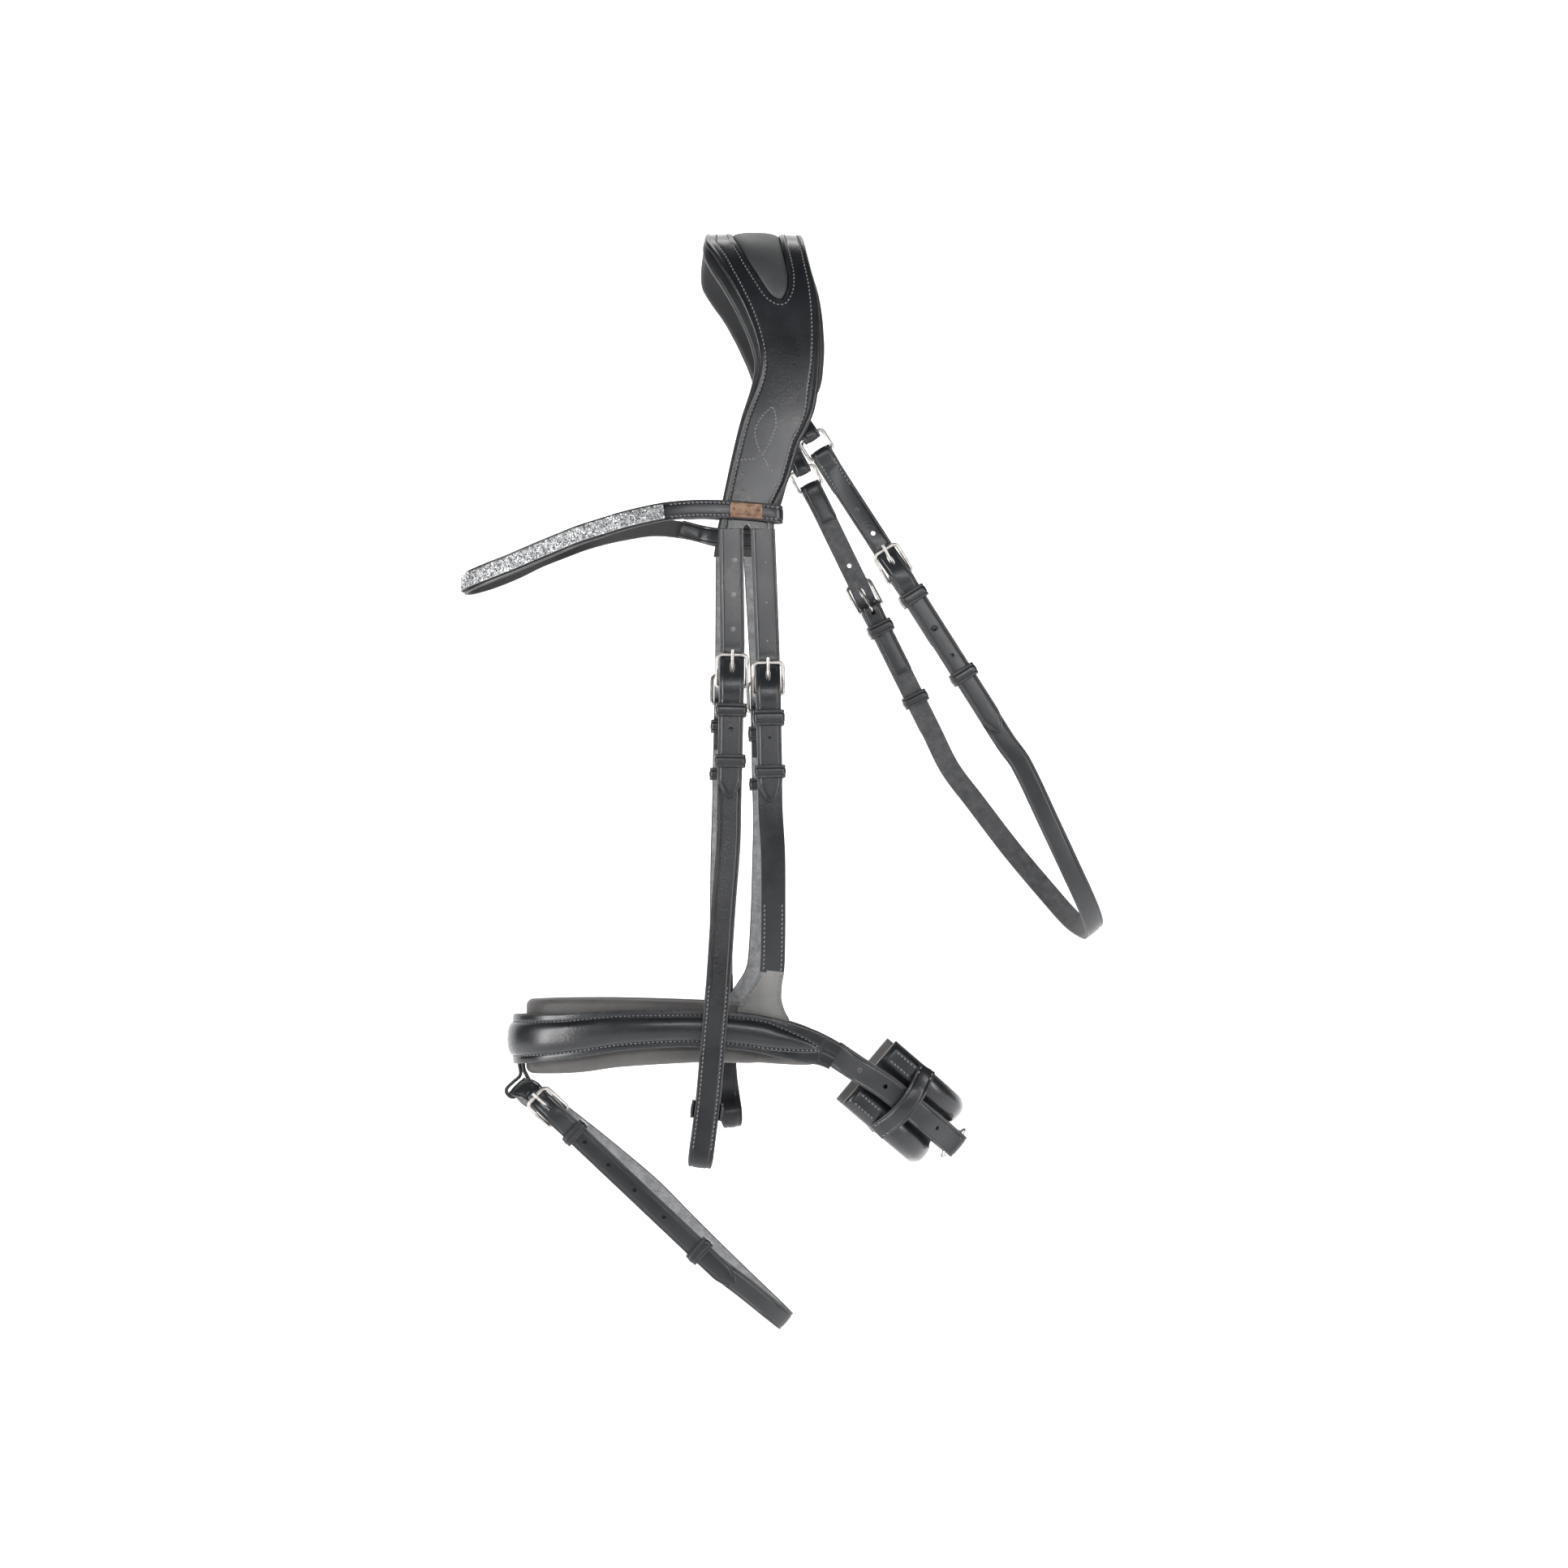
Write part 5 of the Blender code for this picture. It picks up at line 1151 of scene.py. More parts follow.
def make_cheek(side):
    name = SIDE_NAME[side]
    body = name + "_cheek"
    place = cheek_place(side, CHEEK_BAR)
    root = side_point(CHEEK_ROOT_X[side], 55.0, ROOT_Z + 0.3, side)
    spare = [(-69.0, BILLET_TOP_N), (-50.0, BILLET_TOP_N), (-31.0, BILLET_TOP_N), (24.0, BILLET_N)]
    billet, _ = make_billet(name + "_cheek_billet", place, root, side, -10.4, spare, body="root")
    billet.parent = None
    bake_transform(billet)

    run = [side_point(x, y, z, side) for x, y, z in CHEEK_RUN[side]]
    head = fold_path(place, 27.0) + [place.at(24.0, LAYER), place.at(46.0, LAYER), place.at(64.0, LAYER)]
    normals = fold_normals(place) + [place.n] * 3
    down = (run[-1] - run[-2]).normalized()
    inward = Vector((0.0, -side, 0.0))
    loop = Place(run[-1] + down * 5.0 + inward * BIT_LOOP, down, (0.0, side, 0.0))
    turn = []
    turn_normals = []
    for angle in (90, 60, 30, 0, -30, -60, -90):
        a = math.radians(angle)
        turn.append(loop.at(BIT_LOOP * math.cos(a), BIT_LOOP * math.sin(a)))
        turn_normals.append(loop.s * math.cos(a) + loop.n * math.sin(a))
    back = [loop.at(-6.0, -BIT_LOOP * 0.9)]
    for share in (0.6, 0.0):
        back.append(run[-2] + (run[-1] - run[-2]) * share + inward * (2 * LAYER + 0.1))
    back += [run[-3] + inward * (2 * LAYER + 0.1), run[-4] + inward * (2 * LAYER + 0.1)]
    path = head + run + turn + back
    directions = normals + [loop.n] * len(run) + turn_normals + [-loop.n] * len(back)
    node = name + "_cheekpiece"
    fold = loop.at(BIT_LOOP, 0.0)
    _, rail = strap(node + "_detail", [node], path, directions,
                    lambda p: CHEEK_W * linear(FOLD_SHAPE[side], (p - fold).length), cuts=[slot_tool(place)],
                    top=top_stitched)
    low = rail.nearest(run[2])
    high = rail.nearest(run[-1])
    for sign in (-1, 1):
        stitch_run(body, rail, low, high, lambda h, k=sign: k * (h - 1.9), LEATHER / 2 - 0.15)
    fold_stitches(body, rail, place, 17.5, 34.0)
    buckle_frame(name + "_cheek_buckle_frame", place, CHEEK_W)
    tongue(name + "_cheek_buckle_prong", place)
    keeper(name + "_cheek_fixed_keeper", place, FIXED_S, 7.2, CHEEK_W, -LAYER - LEATHER / 2,
           BILLET_N + LEATHER / 2)
    keeper(name + "_cheek_runner", place, RUNNER_S, 7.0, CHEEK_W, LAYER - LEATHER / 2, BILLET_N + LEATHER / 2)
    bit = bit_place(run, side)
    cradle(name + "_bit_keeper", bit, 9.6, CHEEK_W + 0.4, -2 * LAYER - 0.2 - LEATHER / 2, LEATHER / 2)


def make_rear(side):
    name = SIDE_NAME[side]
    place = cheek_place(side, REAR_BAR[side])
    place = Place(place.o, (0.02, 0.0, -1.0), (0.0, side, 0.0))
    root = side_point(REAR_ROOT_X, 55.0, ROOT_Z + 0.3, side)
    spare = [(-72.0, BILLET_TOP_N), (-50.0, BILLET_TOP_N), (-29.0, BILLET_TOP_N), (24.0, BILLET_N)]
    make_billet(name + "_noseband_billet", place, root, side, -10.4, spare, tip_s=59.0, hole=SHUT_HOLE_R)

    run = [side_point(x, y, z, side) for x, y, z in HANGER_RUN[side]]
    foot = run[-1]
    gusset = [side_point(foot.x + x, y, foot.z + z, side) for x, y, z in GUSSET_RUN]
    path = fold_path(place, 27.0) + [place.at(24.0, LAYER), place.at(46.0, LAYER), place.at(64.0, LAYER)]
    path += run + gusset
    directions = fold_normals(place) + [place.n] * (3 + len(run) + len(gusset))
    node = name + "_noseband_hanger"
    piece, rail = strap(node + "_detail", [node], path, directions, lambda p: read(GUSSET_W, p.z - foot.z),
                        cuts=[slot_tool(place)])
    tint_gusset(piece, foot.z)
    low = rail.nearest(run[1] + (run[2] - run[1]) * 0.1)
    high = rail.nearest(foot)
    for sign in (-1, 1):
        stitch_run("root", rail, low, high, lambda h, k=sign: k * (h - 1.9), LEATHER / 2 - 0.15)
    foot_at = rail.nearest(foot) + 1.0
    for sign in (-1, 1):
        stitch_run("root", rail, foot_at, rail.length - 2.0, lambda h, k=sign: k * (h - 1.5),
                   LEATHER / 2 - 0.15)
    fold_stitches("root", rail, place, 19.0, 36.0)
    buckle_frame(name + "_noseband_buckle_frame", place, CHEEK_W)
    tongue(name + "_noseband_buckle_prong", place)
    keeper(name + "_noseband_fixed_keeper", place, FIXED_S, 8.4, CHEEK_W, -LAYER - LEATHER / 2,
           BILLET_N + LEATHER / 2)
    keeper(name + "_noseband_runner", place, RUNNER_S + 1.5, 7.0, CHEEK_W, LAYER - LEATHER / 2,
           BILLET_N + LEATHER / 2)


def tint_gusset(piece, foot_z):
    """The gusset below the hanger's stitches shows a rougher, paler leather."""
    piece.data.materials.append(GUSSET)
    limit = world(Vector((0.0, 0.0, foot_z - 0.5))).z
    for face in piece.data.polygons:
        if face.material_index == 0 and face.center.z < limit:
            face.material_index = 3


# ---- browband ------------------------------------------------------------------------
BROW_SIDE = [(-163.4, 0.0), (-162.6, 5.0), (-159.4, 10.6), (-150, 17.0), (-137, 23.5), (-124, 29.5),
             (-111, 35.2), (-98.8, 41), (-86, 46), (-74, 50.2), (-61, 54), (-51, 56.4), (-36, 58.2),
             (-20, 58.6), (-6, 58.6), (4, 58.6)]
BROW_Z = [(-163.4, -187.4), (-150, -183.0), (-137, -178.7), (-124, -173.9), (-111, -169.2),
          (-98.8, -165), (-86, -161.5), (-74, -158.3), (-61, -155.6), (-51, -154), (-36, -152.9),
          (-20, -152.9), (0, -154.2), (14, -155.6)]
BROW_FAR_LIFT = [(-163, 0.0), (-150, 1.0), (-137, 3.0), (-124, 5.6), (-90, 9.2), (-60, 9.0), (-42, 6.6),
                 (-28, 2.6), (-20, 1.0), (-10, 0.4)]
BROW_W = [(-164, 11.6), (-120, 11.4), (-60, 10.4), (12, 9.8)]
CRYSTAL_END_X = -51.0
CHIP_STEP = 1.12
PLATE_ENDS = (-16.6, 1.0)
PLATE_TALL = 8.6


def linear(table, x):
    """A straight-line value at x, where the frame's own route is built from straight lines."""
    rows = sorted(table)
    if x <= rows[0][0]:
        return rows[0][1]
    for (x0, v0), (x1, v1) in zip(rows, rows[1:]):
        if x <= x1:
            return v0 + (v1 - v0) * (x - x0) / (x1 - x0)
    return rows[-1][1]


def brow_point(x, y, side):
    z = linear(BROW_Z, x)
    if side > 0:
        z += linear(BROW_FAR_LIFT, x)
    return side_point(x, y, z, side)


def brow_end(side):
    out = [brow_point(9.6, 57.6, side), brow_point(11.6, 55.2, side), brow_point(9.6, 52.6, side),
           brow_point(4, 51.2, side), brow_point(-8, 51.0, side), brow_point(-18, 51.2, side),
           brow_point(-24.5, 52.6, side), brow_point(-31, 55.2, side), brow_point(-42, 54.9, side)]
    facing = [Vector((0.6, 0.8 * side, 0)), Vector((1, 0, 0)), Vector((0.6, -0.8 * side, 0))]
    return out, facing + [Vector((0, -side, 0))] * 6


def brow_main():
    near = [brow_point(x, y, -1) for x, y in BROW_SIDE]
    far = [brow_point(x, y, 1) for x, y in BROW_SIDE[1:]]
    facing = []
    for i in range(len(BROW_SIDE)):
        ahead = BROW_SIDE[min(i + 1, len(BROW_SIDE) - 1)]
        behind = BROW_SIDE[max(i - 1, 0)]
        if i == 0:
            facing.append(Vector((-1, 0, 0)))
        else:
            facing.append(Vector((behind[1] - ahead[1], behind[0] - ahead[0], 0)).normalized())
    far_facing = [Vector((n.x, -n.y, n.z)) for n in facing[1:]]
    return list(reversed(near)) + far, list(reversed(facing)) + far_facing


def make_browband():
    main, facing = brow_main()
    near_end, near_facing = brow_end(-1)
    far_end, far_facing = brow_end(1)
    path = list(reversed(near_end)) + main + far_end
    normals = list(reversed(near_facing)) + facing + far_facing
    _, rail = strap("browband_leather_detail", ["browband_leather"], path, normals,
                    lambda p: linear(BROW_W, p.x), mats=[STRAP, LINING, EDGE])
    for side in (-1, 1):
        a = rail.nearest(brow_point(-49.5, 56.6, side))
        b = rail.nearest(brow_point(-21.0, 58.6, side))
        c = rail.nearest(brow_point(9.6, 57.6, side))
        for sign in (-1, 1):
            for start, end in ((min(a, b), max(a, b)), (min(b, c), max(b, c))):
                stitch_run("browband", rail, start, end, lambda h, k=sign: k * (h - 1.75), LEATHER / 2 - 0.15)
    make_crystals(main, facing)
    make_plate()


def make_crystals(main, facing):
    """The strip's backing and its chips, laid in close uneven rows."""
    pts, nrm = dense(main, facing, 1.4)
    keep = [i for i, p in enumerate(pts) if p.x < CRYSTAL_END_X]
    pts = [pts[i] for i in keep]
    nrm = [nrm[i].normalized() for i in keep]
    lift = LEATHER / 2 + GAP + 0.9
    base = [p + n * (lift - 0.45) for p, n in zip(pts, nrm)]
    _, rail = strap("browband_crystal_backing", ["browband_crystal_strip"], base, nrm, 9.0, 0.9,
                    top=top_plain, mats=[FOIL, EDGE, EDGE], ready=True)
    rng = random.Random(CRYSTAL_SEED)
    bm = bmesh.new()
    layer = bm.verts.layers.float.new("chip")
    count = int(rail.length / CHIP_STEP)
    for i in range(count):
        for j in range(CRYSTAL_ROWS):
            s = (i + 0.5 + rng.uniform(-0.28, 0.28) + (0.5 if j % 2 else 0.0)) * rail.length / (count + 0.6)
            u = -3.95 + 7.9 * (j + 0.5) / CRYSTAL_ROWS + rng.uniform(-0.22, 0.22)
            point, tangent, normal = rail.spot(min(s, rail.length - 0.4), u, 0.42)
            chip(bm, layer, rng, point, tangent, normal)
    mesh = mesh_from(bm, "chips")
    finish_piece("browband_crystal_chips", mesh, [CRYSTAL], "browband", sharp=12.0)


def chip(bm, layer, rng, point, tangent, normal):
    """One crushed crystal: a lumpy cut stone with a flat table, tilted its own way."""
    lean = Vector((rng.uniform(-1, 1), rng.uniform(-1, 1), rng.uniform(-1, 1))) * 0.42
    up = (normal + lean).normalized()
    side = up.cross(tangent).normalized()
    front = side.cross(up)
    size = rng.uniform(0.5, 0.74)
    tall = rng.uniform(0.35, 0.8)
    sides = rng.choice((4, 5, 5, 6))
    shade = rng.random()
    turn = rng.uniform(0, 6.28)
    rings = []
    for radius, height in ((0.75, -0.25), (1.0, 0.12), (0.52, tall)):
        ring = []
        for k in range(sides):
            a = turn + 2 * math.pi * k / sides
            r = size * radius * rng.uniform(0.86, 1.1)
            across = side * (r * math.cos(a)) + front * (r * math.sin(a))
            vert = bm.verts.new(world(point + across + up * height))
            vert[layer] = shade
            ring.append(vert)
        rings.append(ring)
    for a, b in zip(rings, rings[1:]):
        for k in range(sides):
            bm.faces.new((a[k], a[(k + 1) % sides], b[(k + 1) % sides], b[k]))
    bm.faces.new(rings[0])
    bm.faces.new(rings[2])


def make_plate():
    """A blank copper plate with a raised frame and two small rivets."""
    lift = LEATHER / 2 + GAP + 0.5
    cols = 17
    rows = 9
    x0, x1 = PLATE_ENDS
    bm = bmesh.new()
    layer = bm.verts.layers.float.new("rim")
    grid = []
    for j in range(rows + 1):
        line = []
        for i in range(cols + 1):
            x = x0 + (x1 - x0) * i / cols
            b = -PLATE_TALL / 2 + PLATE_TALL * j / rows
            inset = min(x - x0, x1 - x, PLATE_TALL / 2 - abs(b))
            rise = 0.5 + (0.0 if inset > 1.0 or inset < 0.01 else 0.22)
            vert = bm.verts.new(world(Vector((x, -58.6 - lift - rise, linear(BROW_Z, x) + b))))
            vert[layer] = 3.0
            line.append(vert)
        grid.append(line)
    for a, b in zip(grid, grid[1:]):
        for i in range(cols):
            bm.faces.new((a[i], a[i + 1], b[i + 1], b[i]))
    made = bmesh.ops.extrude_face_region(bm, geom=list(bm.faces))
    moved = [item for item in made["geom"] if isinstance(item, bmesh.types.BMVert)]
    for vert in moved:
        vert.co.y = (-58.6 - lift + 0.5) * MM
    plate = finish_piece("browband_nameplate_detail", mesh_from(bm, "plate"), [COPPER], "browband",
                         ["browband_nameplate"], sharp=35.0)
    mod = plate.modifiers.new("soft edges", "BEVEL")
    mod.width = 0.25 * MM
    mod.segments = 2
    mod.limit_method = "ANGLE"
    mod.angle_limit = math.radians(50)
    verts = []
    for x in (x0 + 2.1, x1 - 2.1):
        verts.append(rivet(Vector((x, -58.6 - lift - 0.62, linear(BROW_Z, x)))))
    for i, mesh in enumerate(verts):
        finish_piece(f"browband_plate_rivet_{i}", mesh, [COPPER], "browband")


def rivet(centre):
    """A small domed rivet head, turned about the plate's normal."""
    bm = bmesh.new()
    profile = ((0.0, 0.42), (0.32, 0.37), (0.6, 0.22), (0.75, 0.0), (0.75, -0.3))
    rings = []
    for r, h in profile[1:]:
        spokes = [Vector((r * math.cos(2 * math.pi * k / 14), -h, r * math.sin(2 * math.pi * k / 14)))
                  for k in range(14)]
        rings.append([bm.verts.new(world(centre + spoke)) for spoke in spokes])
    top = bm.verts.new(world(centre + Vector((0.0, -profile[0][1], 0.0))))
    for k in range(14):
        bm.faces.new((top, rings[0][k], rings[0][(k + 1) % 14]))
    for a, b in zip(rings, rings[1:]):
        for k in range(14):
            bm.faces.new((a[k], a[(k + 1) % 14], b[(k + 1) % 14], b[k]))
    bm.faces.new(rings[-1])
    return mesh_from(bm, "rivet")


# ---- noseband ------------------------------------------------------------------------
NOSE_HALF = [(-134.6, 0.0), (-133.4, 9.0), (-129.2, 18.0), (-120.5, 26.6), (-105, 34.2), (-90, 39.6),
             (-75, 43.6), (-55, 46.6), (-30, 48.2), (0, 48.2), (22, 47.0), (36, 45.6), (45, 44.9)]
NOSE_MID = [(-135, -442.0), (-108, -440.4), (-76, -436.6), (-50, -435.4), (-30, -435.4), (-15, -436.4),
            (0, -438.4), (11, -441.0), (20, -443.2), (28.4, -445.4), (36, -448.0), (45, -452.6)]
NOSE_TALL = [(-135, 27.5), (-108, 25.0), (-76, 22.4), (-50, 20.6), (-30, 20.4), (0, 20.4), (20, 20.0),
             (28.4, 18.6), (36, 16.4), (45, 14.8)]
PAD_MID = [(-128, -440.4), (-100, -439.6), (-76, -438.0), (-30, -437.4), (-10, -438.4), (0, -439.8),
           (11, -443.4), (22, -446.6), (32, -448.6)]
PAD_TALL = [(-128, 41.6), (-100, 41.0), (-76, 37.6), (-30, 33.4), (-10, 32.2), (0, 30.2), (11, 24.0),
            (22, 18.6), (32, 14.6)]
PAD_END_X = 32.0
PAD_STEP = 10.3
PAD_THICK = 7.6
NOSE_SEAM = 0.70         # the stitch rows, as a share of half the noseband's width


def nose_rows(shift, mid, last_x):
    """Points and normals of the noseband from the near end round the nose to the far end."""
    route = [Vector((x, -y, 0.0)) for x, y in NOSE_HALF]
    knots = knots_of(route)
    counts = [max(3, math.ceil((b - a) / 2.0)) for a, b in zip(knots, knots[1:])]
    flat = smooth(route, knots, counts)
    near = []
    for i, point in enumerate(flat):
        if i == 0:
            normal = Vector((-1, 0, 0))
        else:
            along = flat[min(i + 1, len(flat) - 1)] - flat[i - 1]
            normal = Vector((-abs(along.y), -along.x, 0)).normalized()
            if along.y > 0:
                normal.x = -normal.x
        moved = point - normal * shift
        if moved.x <= last_x:
            near.append((Vector((moved.x, moved.y, read(mid, moved.x))), normal))
    far = [(Vector((p.x, -p.y, p.z)), Vector((n.x, -n.y, n.z))) for p, n in near[1:]]
    rows = list(reversed(near)) + far
    return [p for p, _ in rows], [n for _, n in rows]


def nose_seam(p):
    """The raised centre closes to a point near the noseband's ends."""
    return NOSE_SEAM * min(1.0, max(0.0, (32.5 - p.x) / 30.0)) ** 0.6


def make_noseband():
    pts, nrm = nose_rows(0.0, NOSE_MID, 43.0)
    widths = [read(NOSE_TALL, p.x) for p in pts]
    rail = Rail(pts, nrm, widths)
    lines = (-1.0, -0.97, -0.93, -0.88, -0.83, -0.78, -0.74, -0.70, -0.66, -0.61, -0.54, -0.44, -0.32, -0.17,
             0.0)
    lines = lines + tuple(-u for u in reversed(lines[:-1]))
    rows = []
    for i, (point, (_, normal, side)) in enumerate(zip(pts, rail.f)):
        h = widths[i] / 2 - 0.3
        seam = nose_seam(point)
        ring = []
        for line in lines:
            u = line if seam <= 0.0 or abs(line) > NOSE_SEAM else line * seam / NOSE_SEAM
            if seam > 0.0 and abs(line) > NOSE_SEAM:
                u = math.copysign(seam + (abs(line) - NOSE_SEAM) * (1 - seam) / (1 - NOSE_SEAM), line)
            full = 0.0
            if seam > 0.0 and abs(u) < seam:
                full = (1 - (abs(u) / seam) ** 2.4) ** 0.62 * 3.0 * min(1.0, seam * widths[i] / 12.0)
            d = h * (1 - abs(u))
            groove = 0.4 * bell((abs(u) - seam) * h, 0.5) + 0.2 * bell(d - 1.0, 0.3) + 0.3 * bell(d, 0.4)
            ring.append((u * h, LEATHER / 2 + full - groove))
        ring += [(h + 0.25, 0.6), (h + 0.3, 0.0), (h + 0.25, -0.6), (h - 0.4, -LEATHER / 2),
                 (h * 0.5, -LEATHER / 2), (0.0, -LEATHER / 2), (-h * 0.5, -LEATHER / 2),
                 (-h + 0.4, -LEATHER / 2), (-h - 0.25, -0.6), (-h - 0.3, 0.0), (-h - 0.25, 0.6)]
        rows.append([point + side * u + normal * n for u, n in ring])
    top = len(lines)
    slots = [0] * (top - 1) + [2] * 4 + [1] * 4 + [2] * 4
    rims = [(1 - abs(u)) * 12.0 + 0.2 for u in lines] + [0.1] * 11
    mesh = skin("noseband", rows, slots, rims)
    finish_piece("noseband_leather_detail", mesh, [GRAIN, LINING, EDGE], "root", ["noseband_leather"])
    nose_stitches(rail)
    make_nose_pad()
    make_jaw()


def nose_stitches(rail):
    lift = LEATHER / 2 - 0.3
    for sign in (-1, 1):
        pts = []
        nrm = []
        s = 3.0
        while s < rail.length - 3.0:
            point, _, normal = rail.spot(s, 0.0, 0.0)
            seam = nose_seam(point)
            if seam > 0.02:
                spot, _, normal = rail.spot(s, lambda h, k=sign, q=seam: k * q * (h - 0.3), lift)
                pts.append(spot)
                nrm.append(normal)
            s += 1.5
        stitch_path("root", pts, nrm)


def make_nose_pad():
    """The noseband's padding: two full rolls that stand out past the leather, soft behind it."""
    pts, nrm = nose_rows(PAD_STEP, PAD_MID, PAD_END_X)
    tall = [read(PAD_TALL, p.x) for p in pts]
    rail = Rail(pts, nrm, tall)
    half = PAD_THICK / 2
    rows = []
    for i, (point, (_, normal, side)) in enumerate(zip(pts, rail.f)):
        h = tall[i] / 2
        edge = min(rail.run[i], rail.length - rail.run[i])
        end = math.sqrt(max(0.02, 1 - (1 - min(1.0, edge / 5.0)) ** 2))
        ring = []
        for k in range(13):
            u = -1 + 2 * k / 12
            waist = 0.9 * bell((abs(u) - 0.5) * h, 2.2)
            ring.append((u * (h - half), half - waist))
        for k in range(6):
            a = math.pi / 2 - math.pi * (k + 0.5) / 6
            ring.append((h - half + half * math.cos(a), half * math.sin(a)))
        for k in range(13):
            u = 1 - 2 * k / 12
            seam = 0.8 * bell((abs(u) * h - (h - 5.5)), 0.9)
            ring.append((u * (h - half), -half + seam - 0.3 * (1 - u * u)))
        for k in range(6):
            a = -math.pi / 2 - math.pi * (k + 0.5) / 6
            ring.append((-h + half + half * math.cos(a), half * math.sin(a)))
        ring = [(u * (0.9 + 0.1 * end), n * end) for u, n in ring]
        rows.append([point + side * u + normal * n for u, n in ring])
    count = 38
    mesh = skin("nose pad", rows, [0] * count, [3.0] * count)
    pad = finish_piece("noseband_padding_detail", mesh, [SOFT, SOFT, SOFT], "root", ["noseband_padding"],
                       sharp=80.0)


# ---- jaw strap, pad and roller ---------------------------------------------------------
CRANK_DIR = Vector((math.cos(math.radians(40.5)), 0.0, -math.sin(math.radians(40.5))))
CRANK_UP = Vector((math.sin(math.radians(40.5)), 0.0, math.cos(math.radians(40.5))))
CRANK_START = Vector((34.0, 0.0, -446.0))
CRANK_B = 7.2
CRANK_RISE = [(8.0, -4.8), (24.0, -2.8), (41.0, -0.4), (78.0, 1.0), (120.0, 1.0)]
ROLLER_A = 92.0
ROLLER_Y = -13.0
ROLLER_R = 1.9
ROLLER_BORE = 1.25
CHAPE_GAP_A = 12.0
JAW_HALF = 22.8
JAW_FLAT = [(30, -27.6), (43, -27.6), (57, -26.4), (69, -22), (78, -13.5), (81.6, 0), (78, 13.5), (69, 22),
            (57, 26.4), (43, 27.6), (30, 27.6)]


def crank_point(a, y, b=CRANK_B):
    point = CRANK_START + CRANK_DIR * a + CRANK_UP * b
    point.y = y
    return point


def plan_normals(flat, outward_y):
    out = []
    for i in range(len(flat)):
        ahead = flat[min(i + 1, len(flat) - 1)]
        behind = flat[max(i - 1, 0)]
        da = ahead[0] - behind[0]
        dy = ahead[1] - behind[1]
        length = math.hypot(da, dy)
        out.append(CRANK_DIR * (dy / length) * -outward_y + Vector((0, outward_y * da / length, 0)))
    return out


def crank_path(flat, outward_y):
    path = [crank_point(a, y, CRANK_B + linear(CRANK_RISE, a)) for a, y in flat]
    return path, plan_normals(flat, outward_y)


def make_jaw():
    make_jaw_pad()
    wrap = ROLLER_R + GAP + LEATHER / 2 + 0.15
    flat = [(6.5, -44.8), (14, -43.2), (26, -38.2), (42, -35.0), (56, -33.8), (70, -30.4), (80, -24.4),
            (87.5, -19.0), (ROLLER_A, ROLLER_Y - wrap)]
    for angle in (-60, -30, 0, 30, 60, 90):
        a = math.radians(angle)
        flat.append((ROLLER_A + wrap * math.cos(a), ROLLER_Y + wrap * math.sin(a)))
    flat += [(89.0, -9.4), (85.0, -11.4)]
    points, normals = crank_path(flat, -1.0)
    holes = []
    for a, y in ((24.0, -39.0), (41.0, -35.2), (78.0, -25.8)):
        middle = crank_point(a, y, CRANK_B + linear(CRANK_RISE, a))
        axis = Vector((0, 1, 0)) if a < 60 else (Vector((0, 1, 0)) - CRANK_DIR * 0.6).normalized()
        holes.append((middle, axis, CRANK_DIR, HOLE_R, HOLE_R, 2.6))
    strap("crank_strap_detail", ["crank_strap"], points, normals, CRANK_W, cuts=[hole_tool(holes)])
    make_roller()
    chape = WIRE + GAP + LEATHER / 2
    fa = ROLLER_A + 2.0
    fy = ROLLER_Y + CHAPE_GAP_A
    flat = [(6.5, 44.8), (14, 43.2), (26, 38.2), (42, 35.0), (56, 33.6), (70, 30.0), (80, 23.4), (86, 15.0),
            (fa - chape - 1.0, 7.0)]
    for angle in (180, 215, 245, 270, 295, 325, 360):
        a = math.radians(angle)
        flat.append((fa + chape * math.cos(a), fy + chape * math.sin(a)))
    flat += [(fa + chape - 1.6, 7.2), (fa - 2.0, 12.8), (88.6, 19.0)]
    points, normals = crank_path(flat, 1.0)
    _, rail = strap("crank_chape_detail", ["crank_chape"], points, normals, CRANK_W)
    for sign in (-1, 1):
        stitch_run("root", rail, 20.0, 96.0, lambda h, k=sign: k * (h - 1.9), LEATHER / 2 - 0.15)


def make_roller():
    b_mid = CRANK_B + linear(CRANK_RISE, ROLLER_A)
    half_b = CRANK_W / 2 + 2.4
    middle = crank_point(ROLLER_A, ROLLER_Y, b_mid)
    half = half_b - WIRE - GAP - 0.3
    sides = 40
    rows = []
    for k in range(sides):
        angle = 2 * math.pi * k / sides
        out = CRANK_DIR * math.cos(angle) + Vector((0, math.sin(angle), 0))
        bore = ROLLER_BORE + GAP
        ring = [(bore, -half), (ROLLER_R - 0.2, -half), (ROLLER_R, -half + 0.25), (ROLLER_R, half - 0.25),
                (ROLLER_R - 0.2, half), (bore, half)]
        rows.append([middle + out * r + CRANK_UP * b for r, b in ring])
    mesh = skin("roller", rows, [0] * 6, [3.0] * 6, closed=True)
    finish_piece("crank_roller_detail", mesh, [NICKEL], "crank_roller", ["crank_roller"], sharp=40.0)
    far_bar = crank_point(ROLLER_A + 2.0, ROLLER_Y + CHAPE_GAP_A, b_mid)
    along = far_bar - middle
    reach = along.length
    along.normalize()
    centre = (far_bar + middle) / 2
    pts = [centre + CRANK_UP * a + along * b for a, b in rounded_loop(half_b, reach / 2, 2.2, 8)]
    wire("crank_buckle_frame_detail", ["crank_buckle_frame"], pts, WIRE, closed=True)


